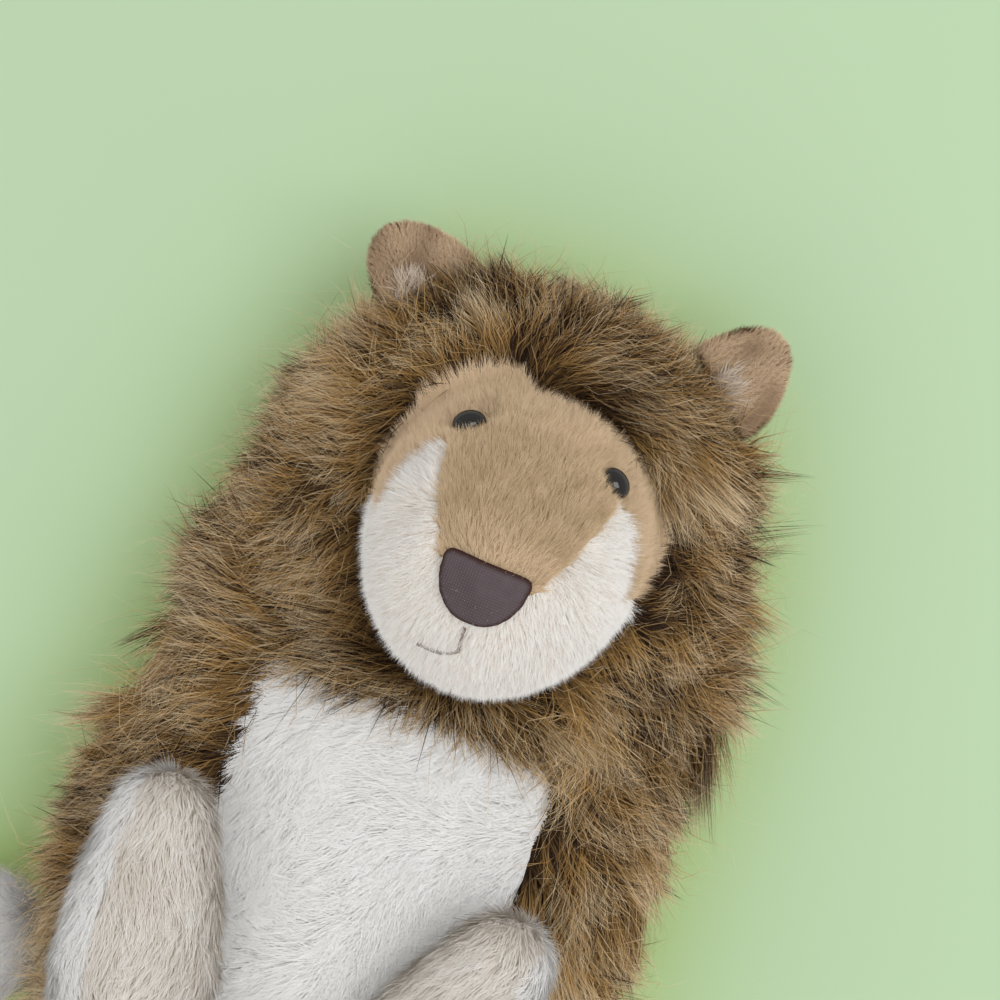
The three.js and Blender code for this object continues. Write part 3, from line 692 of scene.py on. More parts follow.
def hair_of(kind):
    """The material of one kind of hair."""
    found = bpy.data.materials.get(f"{kind}_hair")
    if found:
        return found
    material, tree, surface = plain_material(f"{kind}_hair", 0.72, 0.25)
    group = tree.nodes.new("ShaderNodeGroup")
    group.node_tree = hair_colour_group()
    *shades, foot_reach = HAIRS[kind]
    for label, shade in zip(("Foot", "Dark", "Light", "Tip", "Stain"), shades):
        group.inputs[label].default_value = opaque(getattr(colours(), shade))
    group.inputs["Foot Reach"].default_value = foot_reach
    group.inputs["Tip Start"].default_value = TIP_START
    tree.links.new(group.outputs["Color"], surface.inputs["Base Color"])
    return material


def cloth_group():
    """Knitted back of a pile cloth: fine ribs and a mottled tone, painted darker where the ribs are low as
    painted shade in the hollows of the knit.
    """
    found = bpy.data.node_groups.get("knit")
    if found:
        return found
    inputs = {"Light": COLOUR, "Dark": COLOUR, "Ribs": VALUE}
    group, given, result = new_group("knit", inputs, {"Color": COLOUR, "Height": VALUE})
    place = group.nodes.new("ShaderNodeTexCoord").outputs["Object"]
    mottle = node_at(group, "ShaderNodeTexNoise", Vector=place, Scale=220.0, Detail=4.0)
    ribs = []
    for axis in ("X", "Y"):
        wave = node_at(group, "ShaderNodeTexWave", Vector=place, Scale=given["Ribs"], Distortion=0.6)
        wave.bands_direction = axis
        ribs.append(wave.outputs["Fac"])
    woven = reckon(group, "MULTIPLY", *ribs)
    specks = reckon(group, "MULTIPLY", mottle.outputs["Fac"], 0.4)
    height = reckon(group, "MULTIPLY_ADD", woven, 0.6, specks)
    # Painted shade: the colour is darker where the knit is low, as well as bumped there.
    group.links.new(mixer(group, height, given["Dark"], given["Light"]), result["Color"])
    group.links.new(height, result["Height"])
    return group


def cloth_material(name, light, dark, ribs=900.0, depth=0.0004, rough=0.85):
    found = bpy.data.materials.get(name)
    if found:
        return found
    material, tree, surface = plain_material(name, rough, 0.2)
    group = tree.nodes.new("ShaderNodeGroup")
    group.node_tree = cloth_group()
    for label, value in (("Light", light), ("Dark", dark), ("Ribs", ribs)):
        feed(tree, value, group.inputs[label])
    bump = node_at(tree, "ShaderNodeBump", Distance=depth, Height=group.outputs["Height"])
    tree.links.new(group.outputs["Color"], surface.inputs["Base Color"])
    tree.links.new(bump.outputs["Normal"], surface.inputs["Normal"])
    return material


def shaded(colour, share):
    return tuple(share * level for level in colour)


# Lighter and darker colour of the cloth under each kind of pile. Under the coat the cloth is dark brown,
# painted shade for the gaps in the long fur.
BACKINGS = {
    "coat": ("coat_dark", "coat_root"),
    "white": ("white", "white_shade"),
    "cheek": ("white", "cheek"),
    "tan": ("tan", "tan_shade"),
    "brow": ("brow", "tan"),
    "beige": ("beige", "beige_shade"),
    "ear": ("ear", "ear_shade"),
}


def backing_of(kind):
    light, dark = (getattr(colours(), name) for name in BACKINGS[kind])
    return cloth_material(f"{kind}_backing", light, dark)


def dress_skin(obj, panels, cloth_names):
    """Gives each face of a skin the backing cloth of the panel over it."""
    used = sorted(set(cloth_names))
    for cloth in used:
        obj.data.materials.append(backing_of(cloth))
    middles = np.empty(len(obj.data.polygons) * 3)
    obj.data.polygons.foreach_get("center", middles)
    owners = panels.over(middles.reshape(-1, 3))
    slots = np.array([used.index(cloth) for cloth in cloth_names], dtype=np.int32)
    obj.data.polygons.foreach_set("material_index", slots[owners])


def across_neck(obj):
    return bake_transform(obj)


# Operators, one for each group of pieces.


class WolfStep(bpy.types.Operator):
    bl_options = {"REGISTER", "UNDO"}


# The camera looks straight down, turned about its axis, and the lamps turn with it.
VIEW_ROLL = math.radians(23.0)
VIEW_SPREAD = 0.18
CAMERA_PLACE = (-0.0055, 0.156, 1.1)
LIT_PLACE = Vector((-0.0055, 0.12, 0.06))
WORLD_COLOUR, WORLD_POWER = (1.0, 0.985, 0.965, 1.0), 0.57

# Each lamp's place to the right of, up from and over the lit place, its size and its power.
LAMPS = {"key": ((0.60, 0.05, 1.40), 1.0, 11.0), "fill": ((-0.6, -0.4, 1.3), 1.6, 5.6)}

# Painted shadow: the floor's colour is tinted by this much around the toy, fully up to the first share of
# open sky that ambient occlusion finds and not at all from the second.
PAINTED_SHADOW_TINT = np.array((1.03, 1.06, 0.56))
PAINTED_SHADOW_SKY = (0.30, 0.92)


class WOLF_OT_stage(WolfStep):
    """Sets the floor, the soft lights and the camera above the toy"""

    bl_idname = "wolf.stage"
    bl_label = "Stage"

    def execute(self, context):
        scene = context.scene
        scene.view_settings.view_transform = "Standard"
        bpy.ops.object.select_all(action="DESELECT")
        bpy.ops.mesh.primitive_plane_add(size=6.0, location=(0.0, 0.0, 0.0))
        floor = context.object
        floor.name = "floor"
        material, tree, surface = plain_material("floor_paper", 0.9, 0.1)
        base = np.array(colours().floor)
        colour = clouded(tree, 3.0, tuple(base * 0.97), tuple(np.minimum(base * 1.03, 1.0)))
        # Painted shadow: ambient occlusion tints the floor's colour where the toy is near.
        corner = node_at(tree, "ShaderNodeAmbientOcclusion", Distance=0.15)
        corner.samples = 8
        open_floor = ramp_between(tree, corner.outputs["AO"], *PAINTED_SHADOW_SKY)
        colour = mixer(tree, open_floor, tuple(base * PAINTED_SHADOW_TINT), colour)
        path = tree.nodes.new("ShaderNodeLightPath")
        grey = tuple(np.full(3, base.mean()))
        seen = mixer(tree, path.outputs["Is Camera Ray"], grey, colour)
        tree.links.new(seen, surface.inputs["Base Color"])
        floor.data.materials.append(material)

        world = bpy.data.worlds.new("studio")
        scene.world = world
        world.use_nodes = True
        sky = world.node_tree.nodes["Background"]
        sky.inputs["Color"].default_value = WORLD_COLOUR
        sky.inputs["Strength"].default_value = WORLD_POWER

        right = Vector((math.cos(VIEW_ROLL), math.sin(VIEW_ROLL), 0.0))
        up = Vector((-math.sin(VIEW_ROLL), math.cos(VIEW_ROLL), 0.0))
        for name, ((across, along, over), size, power) in LAMPS.items():
            lamp = bpy.data.lights.new(name, "AREA")
            lamp.size = size
            lamp.energy = power
            holder = new_object(name, lamp)
            spot = right * across + up * along + Vector((0.0, 0.0, over))
            holder.location = LIT_PLACE + spot
            holder.rotation_euler = (-spot).to_track_quat("-Z", "Y").to_euler()

        lens = bpy.data.cameras.new("camera")
        lens.sensor_fit = "HORIZONTAL"
        lens.angle = 2.0 * math.atan(VIEW_SPREAD)
        camera = new_object("camera", lens)
        camera.location = CAMERA_PLACE
        camera.rotation_euler = (0.0, 0.0, VIEW_ROLL)
        scene.camera = camera
        return {"FINISHED"}


HEAD_PANELS = ("mane_hood", "bridge_panel", "brow_left", "brow_right", "cheek_left", "cheek_right")
HEAD_CLOTHS = ("coat", "tan", "brow", "brow", "cheek", "cheek")
TORSO_PANELS = ("torso_coat", "belly_panel")
TORSO_CLOTHS = ("coat", "white")

# Height of an eye over its foot, how far each bead is sunk, its size, the plug that closes the stuffing
# where the shank goes in, and the dent that the bead presses into the skin.
EYE_HEIGHT = 0.0045
EYE_SINK = {"left": 0.0015, "right": 0.0020}
EYE_RADIUS, EYE_FLAT = 0.006, 0.75
PLUG_DEPTH, PLUG_RADIUS = 0.0170, 0.0140
DENT_DEPTH, DENT_SPAN = 0.0012, 0.008


def node_points(node):
    return corners(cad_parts[node])


def eye_spots():
    """Foot of each eye bead and the direction that it looks in."""
    spots = []
    for name in SIDES:
        bead = node_points(f"eye_{name}")
        behind = node_points(f"eye_washer_{name}").mean(axis=0)
        top = bead[np.argmax(np.linalg.norm(bead - behind, axis=1))]
        look = unit(top - behind)
        spots.append((top - look * EYE_HEIGHT, look))
    return spots


class WOLF_OT_padding(WolfStep):
    """Lays the skin over the stuffing of torso and head and cuts it at the neck seam"""

    bl_idname = "wolf.padding"
    bl_label = "Padding"

    def execute(self, context):
        fills = ("torso_stuffing", "pellet_bag", "head_stuffing")
        plugs = [(spot - look * PLUG_DEPTH, PLUG_RADIUS) for spot, look in eye_spots()]
        whole = cloth_over("body_skin", fills, 0.0032, 10, plugs)
        places = corners(whole)
        for spot, look in eye_spots():
            away = np.linalg.norm(places - spot, axis=1)
            places -= look * (DENT_DEPTH * np.exp(-((away / DENT_SPAN) ** 2)))[:, None]
        places[:, 2] = np.maximum(places[:, 2], FLOOR_CLEAR)
        move_corners(whole, places)
        for name, far in (("torso_padding", False), ("head_padding", True)):
            piece = new_object(name, whole.data.copy())
            piece.data.name = name
            cut_at(piece, NECK_SEAM, (0.0, 1.0, 0.0), far)
        bpy.data.objects.remove(whole)
        torso = bpy.data.objects["torso_padding"]
        dress_skin(torso, Panels(*TORSO_PANELS), TORSO_CLOTHS)
        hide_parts("torso_stuffing", "pellet_bag")
        head = bpy.data.objects["head_padding"]
        dress_skin(head, Panels(*HEAD_PANELS), HEAD_CLOTHS)
        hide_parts("head_stuffing")
        across_neck(torso)
        across_neck(head)
        return {"FINISHED"}


def not_seam(points, normals):
    """Leaves the closed cut at the neck bare."""
    return ~((np.abs(points[:, 1] - NECK_SEAM[1]) < 0.002) & (np.abs(normals[:, 1]) > 0.8))


def fur_tone(points, rng, middle=0.5):
    """Patches of darker and lighter fur, with every hair a little different."""
    patch = 0.14 * ripple(points, 0.055, rng) + 0.08 * ripple(points, 0.016, rng)
    return middle + patch + rng.normal(0.0, 0.2, len(points))


def shown(share):
    """Weight of the places on a skin: full where they show, a share of it on the side to the floor."""

    def weight(points, normals):
        return np.where(normals[:, 2] > -0.25, 1.0, share) * not_seam(points, normals)

    return weight


# Long fur above this height is in the front pieces.
FRONT_HEIGHT = 0.060


def quarters(points, name):
    """Splits long fur into left and right, front and back, so that no piece grows too large."""
    left = points[:, 0] >= 0.0
    front = points[:, 2] >= FRONT_HEIGHT
    return (
        (f"{name}_left_front", left & front),
        (f"{name}_left_back", left & ~front),
        (f"{name}_right_front", ~left & front),
        (f"{name}_right_back", ~left & ~front),
    )


def limb_panels(limb):
    return Panels(*(f"{limb}_{side}_{half}" for side in SIDES for half in ("top", "under")))


# Above this line the long fur of the neck covers the belly panel.
RUFF_FOOT = 0.079

# The coat is combed out to the sides from a soft parting, and down to the seat and the floor.
COAT_PARTING, COAT_SPAN = 0.02, 0.05
COAT_DOWN, COAT_BACK = -0.62, -0.35


class WOLF_OT_coat(WolfStep):
    """Grows the long fur of the back and flanks"""

    bl_idname = "wolf.coat"
    bl_label = "Coat"

    def execute(self, context):
        rng = seeded(1)
        skin = bpy.data.objects["torso_padding"]
        nap = Nap(
            pile_sizes().coat, pile_sizes().hair, **LONG_FUR, lift=0.68, lay=0.10, stray=0.24, bunch=18,
            hold=0.75, lock=300, tousle=0.38, clump=0.42, wave=0.06, turns=1.3, loose=0.12, droop=0.2,
        )
        points, normals = scatter(skin, HAIR_COUNTS["coat"], rng, shown(0.36))
        owners = Panels(*TORSO_PANELS).over(points)
        ruff = (owners == 1) & (points[:, 1] > RUFF_FOOT)
        own = (owners == 0) | ruff
        points, normals, ruff = points[own], normals[own], ruff[own]
        beside = np.abs(points[:, 0])
        by_arm = 1.0 - smooth_step(0.006, 0.030, limb_panels("arm").away(points, 0.05))
        by_arm *= smooth_step(0.005, 0.025, points[:, 1])
        scale = 0.25 + 0.75 * smooth_step(0.006, 0.055, limb_panels("leg").away(points, 0.06))
        scale = np.where(ruff, 0.62 - 0.25 * smooth_step(0.02, 0.05, beside), scale)
        side = np.tanh(points[:, 0] / COAT_PARTING)
        out = np.clip(beside / COAT_SPAN, 0.0, 1.0)
        way = ways(side * (0.25 + 0.75 * out), COAT_DOWN, COAT_BACK)
        way[:, 0] *= 1.0 - 0.8 * by_arm
        comb = combed(way, points, normals, 0.42, 0.075, rng)
        # Painted light and shade: the coat's tone is lighter toward +x, the side of the key lamp, and darker
        # on the other side.
        tones = fur_tone(points, rng, 0.44) + 0.09 * np.clip(points[:, 0] / 0.08, -1.0, 1.0)
        strands = Strands(points, normals, comb, tones, nap.lift + 0.45 * by_arm, scale)
        for name, pick in quarters(points, "coat"):
            piece = grow(name, strands.pick(pick), nap, hair_of("coat"), rng)
            across_neck(piece)
            if name == "coat_left_front":
                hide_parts("torso_coat")
        return {"FINISHED"}


class WOLF_OT_belly(WolfStep):
    """Grows the white belly pile"""

    bl_idname = "wolf.belly"
    bl_label = "Belly"

    def execute(self, context):
        rng = seeded(2)
        skin = bpy.data.objects["torso_padding"]
        nap = Nap(
            pile_sizes().belly, pile_sizes().nap, **SOFT_PILE, uneven=0.18, lift=0.5, lay=0.08, stray=0.3,
            bunch=14, hold=0.3, fuzz=0.25,
        )

        def front(points, normals):
            inside = (np.abs(points[:, 0]) < 0.075) & (normals[:, 2] > 0.2)
            return inside * not_seam(points, normals) + HARDLY

        points, normals = scatter(skin, HAIR_COUNTS["belly"], rng, front)
        own = (Panels(*TORSO_PANELS).over(points) == 1) & (points[:, 1] <= RUFF_FOOT)
        points, normals = points[own], normals[own]
        comb = laid(np.array((-0.6, -0.8, 0.0)), normals)
        comb = turned(comb, normals, 0.55 * ripple(points, 0.05, rng) + 0.3 * ripple(points, 0.016, rng))
        tones = 0.7 + 0.12 * ripple(points, 0.03, rng) + rng.normal(0.0, 0.1, len(points))
        lift = nap.lift + 0.12 * ripple(points, 0.014, rng) + 0.16 * ripple(points, 0.035, rng)
        strands = Strands(points, normals, comb, tones, lift)
        left = points[:, 0] >= 0.0
        for name, pick in (("belly_pile_left", left), ("belly_pile_right", ~left)):
            piece = grow(name, strands.pick(pick), nap, hair_of("white"), rng)
            across_neck(piece)
            if name == "belly_pile_left":
                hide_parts("belly_panel")
        return {"FINISHED"}


# Where the fur of the crown is parted, across the face; where brow and fringe begin, down the face; how far
# the brows reach under the hood and the fringe over the face; how far each brow laps over its cheek.
PARTING = -0.017
BROW_START = -0.018
BROW_REACH = 0.0015
FRINGE_REACH = 0.0065
BROW_LAPS = {"left": 0.0014, "right": 0.0030}


def over_brow(points, face):
    """Points of the hood so close above the face that the brow's pile covers them."""
    across, _, down = face_place(points)
    reach = BROW_REACH * smooth_step(PARTING + 0.001, PARTING - 0.012, across)
    return (face.away(points, 0.02) < reach) & (down < BROW_START)


def under_fringe(points):
    """Points of the face that the fringe of the hood grows over, beside the parting."""
    across, _, down = face_place(points)
    reach = FRINGE_REACH * smooth_step(PARTING - 0.003, PARTING + 0.008, across)
    reach *= smooth_step(0.036, 0.022, across)
    return (down < BROW_START) & (Panels("mane_hood").away(points, 0.02) < reach)


# The mane grows away from this point of the head and falls a little to the neck and the floor.
MANE_MIDDLE = np.array((0.0, 0.150, 0.10))
MANE_FALL = np.array((0.0, -0.12, -0.15))
MANE_FLAT = 0.35


class WOLF_OT_mane(WolfStep):
    """Grows the long mane of the hood"""

    bl_idname = "wolf.mane"
    bl_label = "Mane"

    def execute(self, context):
        rng = seeded(3)
        skin = bpy.data.objects["head_padding"]
        panels = Panels(*HEAD_PANELS)
        face = Panels(*HEAD_PANELS[1:])
        nap = Nap(
            pile_sizes().mane, pile_sizes().hair, **LONG_FUR, lift=0.72, lay=0.12, stray=0.28, bunch=16,
            hold=0.7, lock=280, tousle=0.44, clump=0.4, wave=0.07, turns=1.4, loose=0.15, droop=0.15,
        )
        points, normals = scatter(skin, HAIR_COUNTS["mane"], rng, shown(0.3))
        own = ((panels.over(points) == 0) & ~over_brow(points, face)) | under_fringe(points)
        points, normals = points[own], normals[own]
        from_face = face.away(points, 0.05)
        beside_face = 1.0 - smooth_step(0.005, 0.030, from_face)
        way = points - MANE_MIDDLE
        way[:, 2] *= MANE_FLAT
        comb = combed(unit(way) + MANE_FALL, points, normals, 0.4, 0.06, rng)
        across, _, down = face_place(points)
        crown = smooth_step(-0.005, -0.04, down) * (1.0 - smooth_step(0.010, 0.050, from_face))
        parted = np.tanh((across - PARTING) / 0.014)
        fringe = 1.0 - smooth_step(0.003, 0.026, from_face)
        sweep = np.where(parted > 0.0, 0.95 + 1.05 * fringe, 0.7)
        comb = turned(comb, normals, -sweep * parted * crown)
        swept = crown * np.clip(parted, 0.0, 1.0)
        # Painted shade: the mane is darker beside the face, where its raised fur shades the hood.
        tones = fur_tone(points, rng, 0.43) - 0.12 * beside_face
        chin = smooth_step(0.02, 0.05, down) * (1.0 - smooth_step(0.02, 0.05, np.abs(across)))
        scale = 1.0 - 0.35 * beside_face * (1.0 - 0.7 * np.maximum(swept, chin))
        scale *= 1.0 - 0.25 * smooth_step(0.200, 0.235, points[:, 1])
        lift = nap.lift + 0.4 * beside_face * (1.0 - 0.9 * np.maximum(swept, chin))
        strands = Strands(points, normals, comb, tones, lift, scale)
        for name, pick in quarters(points, "mane"):
            piece = grow(name, strands.pick(pick), nap, hair_of("coat"), rng)
            across_neck(piece)
            if name == "mane_left_front":
                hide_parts("mane_hood")
        return {"FINISHED"}


# The pile of the face is brow where it is this far out and up. The pile is cropped beside nose, mouth and
# eyes, down to these shares and up to these distances, so that they show.
RIM_OUT, RIM_UP = 0.042, 0.142
NOSE_CROP, NOSE_SPAN = 0.5, (0.0010, 0.0075)
MOUTH_CROP, MOUTH_SPAN = 0.72, (0.0030, 0.0056)
EYE_CROP, EYE_SPAN = 0.42, (0.008, 0.014)
EYE_BARE = 0.0044

# Hairs near an eye point at it, and those over it are stained.
EYE_PULL = (0.0065, 0.0105)
STAIN_PLACE, STAIN_SPAN = np.array((0.0, 0.006, 0.0)), 0.0075

# Piece, panel, hair and slot of each pile of the face.
FACE_PILES = (
    ("bridge_pile", "bridge_panel", "tan", "tan_plush"),
    ("brow_left_pile", "brow_left", "tan", "pale_tan_plush"),
    ("brow_right_pile", "brow_right", "tan", "pale_tan_plush"),
    ("cheek_left_pile", "cheek_left", "cheek", "white_plush"),
    ("cheek_right_pile", "cheek_right", "cheek", "white_plush"),
)


def cropped(share, span, distance):
    """Length of the hairs beside a thing that shows, as a share of the pile."""
    return share + (1.0 - share) * smooth_step(*span, distance)


class WOLF_OT_face(WolfStep):
    """Grows the short pile of bridge, brows and cheeks"""

    bl_idname = "wolf.face"
    bl_label = "Face"

    def execute(self, context):
        rng = seeded(4)
        skin = bpy.data.objects["head_padding"]
        panels = Panels(*HEAD_PANELS, "nose")
        face = Panels(*HEAD_PANELS[1:])
        nap = Nap(
            pile_sizes().face, pile_sizes().nap, **CROPPED_PILE, uneven=0.24, stray=0.3, hold=0.12,
            loose=0.03, soft=0.92, fuzz=0.5,
        )

        def front(points, normals):
            across, along, down = face_place(points)
            return (along > -0.012) * (np.hypot(across, down) < 0.075) + HARDLY

        points, normals = scatter(skin, HAIR_COUNTS["face"], rng, front)
        owners = panels.over(points)
        brows = (owners == 0) & over_brow(points, face)
        owners[brows] = 1 + face.over(points[brows])
        owners[under_fringe(points)] = 0
        rim = points[:, 1] > RIM_UP + 0.0018 * ripple(points, 0.012, rng)
        rim &= np.abs(points[:, 0] - FACE_ROOT[0]) > RIM_OUT
        for side, lap in BROW_LAPS.items():
            cheek = owners == panels.nodes.index(f"cheek_{side}")
            lapped = rim | (Panels(f"brow_{side}").away(points, 0.02) < lap)
            owners[cheek & lapped] = panels.nodes.index(f"brow_{side}")
        across, along, _ = face_place(points)
        lies = {"cheek": ways(across * 6.0, -0.5, -0.5), "tan": ways(across * 9.0, 0.85, -0.55)}
        stain = np.zeros(len(points))
        clear = np.ones(len(points), dtype=bool)
        lift = np.full(len(points), nap.lift)
        scale = 1.0 + 0.35 * brows
        scale *= cropped(MOUTH_CROP, MOUTH_SPAN, Panels("mouth_stitch").away(points, 0.012))
        scale *= cropped(NOSE_CROP, NOSE_SPAN, Panels("nose").away(points, 0.012))
        for spot, _ in eye_spots():
            gap = spot - points
            away = np.linalg.norm(gap, axis=1)
            stain += np.exp(-((np.linalg.norm(gap + STAIN_PLACE, axis=1) / STAIN_SPAN) ** 2))
            pull = (1.0 - smooth_step(*EYE_PULL, away))[:, None]
            for hair, lie in lies.items():
                lies[hair] = lie * (1.0 - pull) + unit(gap) * pull
            lift += 0.1 * pull[:, 0]
            inner = 0.3 * smooth_step(0.0, 0.005, gap[:, 0] * np.sign(spot[0])) * (spot[0] > 0.0)
            scale *= cropped(EYE_CROP + inner, EYE_SPAN, away)
            clear &= away > EYE_BARE
        # The outer brows are paler. On the side away from the key lamp they are much paler, as painted light.
        outer = np.where(across < 0.0, 0.42, 0.05) * smooth_step(0.018, 0.040, np.abs(across))
        tan_tone = 0.32 + 0.26 * smooth_step(0.055, 0.020, along) + outer
        tan_tone += 0.36 * smooth_step(0.074, 0.087, along) - 0.7 * stain
        flecked = rng.random(len(points)) < 0.07 * smooth_step(0.055, 0.078, along)
        for name, node, hair, slot in FACE_PILES:
            pick = (owners == panels.nodes.index(node)) & clear
            comb = combed(lies[hair][pick], points[pick], normals[pick], 0.3, 0.02, rng)
            tones = 0.09 * ripple(points[pick], 0.009, rng) + rng.normal(0.0, 0.07, pick.sum())
            if hair == "tan":
                tones += tan_tone[pick]
            else:
                tones = np.where(flecked[pick], 0.06, tones + 0.72)
            strands = Strands(points[pick], normals[pick], comb, tones, lift[pick], scale[pick])
            piece = grow(name, strands, nap, hair_of(hair), rng)
            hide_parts(node)
            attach(piece, "head")
        return {"FINISHED"}


def nose_material():
    """Woven grey cloth, painted darker in the hollows of its weave as painted shade, that darkens to brown
    near its edge, where it turns away from the face.
    """
    c = colours()
    material = cloth_material("nose_weave", c.nose, shaded(c.nose, 0.45), 330.0, 0.0004, 0.9)
    tree = material.node_tree
    surface = tree.nodes["Principled BSDF"]
    woven = surface.inputs["Base Color"].links[0].from_socket
    rim = tree.nodes.new("ShaderNodeAttribute")
    rim.attribute_name = "rim"
    tree.links.new(mixer(tree, rim.outputs["Fac"], woven, c.nose_edge), surface.inputs["Base Color"])
    return material


# The nose is domed over this span and sunk as far, its dark edge is this wide, and the mouth thread is sunk
# and thinned this far.
NOSE_DOME, NOSE_REACH = 0.0012, 0.016
NOSE_EDGE = (0.0002, 0.0022)
THREAD_SINK, THREAD_THIN = 0.0029, 0.00010


class WOLF_OT_nose(WolfStep):
    """Pads the woven nose and sews the mouth"""

    bl_idname = "wolf.nose"
    bl_label = "Nose and mouth"

    def execute(self, context):
        c = colours()
        nose = cloth_over("nose_pad", ("nose",), 0.0007, 6)
        places = corners(nose)
        away = np.linalg.norm((places - places.mean(axis=0))[:, :2], axis=1)
        out = 1.0 - smooth_step(0.0, NOSE_REACH, away)
        places += np.outer(out, FACE_AXIS) * NOSE_DOME - FACE_AXIS * NOSE_DOME
        move_corners(nose, places)
        edge = np.flatnonzero(np.abs(outward_of(nose) @ FACE_AXIS) < 0.45)
        gap = np.linalg.norm(places - places[nearest_of(places, edge)], axis=1)
        rim = nose.data.attributes.new("rim", "FLOAT", "POINT")
        rim.data.foreach_set("value", 1.0 - smooth_step(*NOSE_EDGE, gap))
        nose.data.materials.append(nose_material())
        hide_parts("nose")
        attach(nose, "head")

        stitch = cloth_over("mouth_thread", ("mouth_stitch",), 0.0003, 3)
        places = corners(stitch) - FACE_AXIS * THREAD_SINK - outward_of(stitch) * THREAD_THIN
        move_corners(stitch, places)
        twist = cloth_material("mouth_thread", c.thread, shaded(c.thread, 0.6), 2500.0, 0.0002, 0.7)
        stitch.data.materials.append(twist)
        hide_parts("mouth_stitch")
        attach(stitch, "head")
        return {"FINISHED"}


class WOLF_OT_eyes(WolfStep):
    """Turns the glossy eye beads"""

    bl_idname = "wolf.eyes"
    bl_label = "Eyes"

    def execute(self, context):
        material, tree, surface = plain_material("eye_bead", 0.08, 0.6)
        colour = clouded(tree, 90.0, shaded(colours().eye, 0.6), shaded(colours().eye, 2.2))
        tree.links.new(colour, surface.inputs["Base Color"])
        for (spot, look), name in zip(eye_spots(), SIDES):
            bpy.ops.object.select_all(action="DESELECT")
            bpy.ops.mesh.primitive_uv_sphere_add(segments=40, ring_count=24, radius=EYE_RADIUS)
            bead = context.object
            bead.name = f"eye_bead_{name}"
            bead.data.name = bead.name
            bead.data.transform(Matrix.Diagonal((1.0, 1.0, EYE_FLAT, 1.0)))
            turn = Vector(look).to_track_quat("Z", "Y").to_matrix().to_4x4()
            bead.data.transform(Matrix.Translation(Vector(spot - look * EYE_SINK[name])) @ turn)
            bpy.ops.object.shade_smooth()
            bead.data.materials.append(material)
            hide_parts(f"eye_{name}")
            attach(bead, "head")
        return {"FINISHED"}


# The way each ear points, and how far its pale tuft sits beside the middle of its foot.
EAR_TIPS = {"left": (0.6277, 0.7617, 0.1606), "right": (-0.7057, 0.6851, 0.1806)}
TUFT_SHIFT = {"left": (0.0, 0.0, 0.0), "right": (-0.005, -0.005, 0.0)}
TUFT_DOWN, TUFT_RADIUS = 0.010, 0.009


class WOLF_OT_ears(WolfStep):
    """Pads the ears, grows their short pile and the pale tuft at their foot"""

    bl_idname = "wolf.ears"
    bl_label = "Ears"

    def execute(self, context):
        rng = seeded(5)
        nap = Nap(
            pile_sizes().ear, pile_sizes().nap, **CROPPED_PILE, uneven=0.2, hold=0.15, loose=0.06,
            soft=0.9, fuzz=0.7,
        )
        fluff = Nap(
            pile_sizes().tuft, pile_sizes().nap, uneven=0.25, lift=0.9, lay=0.3, bunch=12, hold=0.4, soft=0.7
        )
        for name, tip in EAR_TIPS.items():
            front, back, tuft = f"ear_front_{name}", f"ear_back_{name}", f"ear_tuft_{name}"
            skin = cloth_over(f"ear_padding_{name}", (front, back), 0.0012, 8)
            skin.data.materials.append(backing_of("ear"))
            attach(skin, f"ear_{name}")
            points, normals = scatter(skin, HAIR_COUNTS["ear"], rng)
            owners = Panels(front, back).over(points)
            comb = combed(np.array(tip), points, normals, 0.35, 0.02, rng)
            tones = 0.55 + 0.4 * ripple(points, 0.014, rng) + rng.normal(0.0, 0.1, len(points))
            scale = np.where(normals[:, 2] < 0.0, 0.5, 1.0)
            pile = Strands(points, normals, comb, tones, nap.lift, scale)
            for number, node in enumerate((front, back)):
                piece = grow(f"{node}_pile", pile.pick(owners == number), nap, hair_of("ear"), rng)
                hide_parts(node)
                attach(piece, f"ear_{name}")
            low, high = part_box(tuft)
            foot = (np.array(low) + np.array(high)) / 2.0 - np.array(tip) * TUFT_DOWN
            foot += np.array(TUFT_SHIFT[name])
            inner = np.linalg.norm(points - foot, axis=1) < TUFT_RADIUS
            pick = np.flatnonzero(inner & (owners == 0))
            pick = rng.choice(pick, min(HAIR_COUNTS["tuft"], len(pick)), replace=False)
            tones = 0.4 + rng.normal(0.0, 0.2, len(pick))
            strands = Strands(points[pick], normals[pick], comb[pick], tones, fluff.lift)
            piece = grow(f"{tuft}_hair", strands, fluff, hair_of("tuft"), rng)
            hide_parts(tuft)
            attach(piece, f"ear_{name}")
        return {"FINISHED"}


def pad_limb(body, count, nap, rng, hairs, way, tones_for, outer=None):
    """Skin and pile of one arm, leg or the tail, in two panels.

    On the outer side of a limb the pile of the lower panel laps over the upper one.
    """
    top, under, fill = f"{body}_top", f"{body}_under", f"{body}_stuffing"
    panels = Panels(top, under)
    skin = cloth_over(f"{body}_padding", (fill,), 0.003, 6)
    dress_skin(skin, panels, hairs)
    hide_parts(fill)
    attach(skin, body)
    points, normals = scatter(skin, count, rng)
    owners = panels.over(points)
    if outer:
        owners[normals @ np.array(outer) > 0.55] = 1
    comb = combed(np.array(way), points, normals, 0.35, 0.035, rng)
    pieces = []
    for number, node in enumerate((top, under)):
        pick = owners == number
        tones = tones_for(points[pick], rng)
        strands = Strands(points[pick], normals[pick], comb[pick], tones, nap.lift)
        piece = grow(f"{node}_pile", strands, nap, hair_of(hairs[number]), rng)
        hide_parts(node)
        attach(piece, body)
        pieces.append(piece)
    return pieces


def limb_nap(longer=1.0):
    return Nap(
        pile_sizes().limb * longer, pile_sizes().nap, **SOFT_PILE, uneven=0.2, lift=0.62, lay=0.14,
        stray=0.22, bunch=12, hold=0.25, fuzz=0.5,
    )


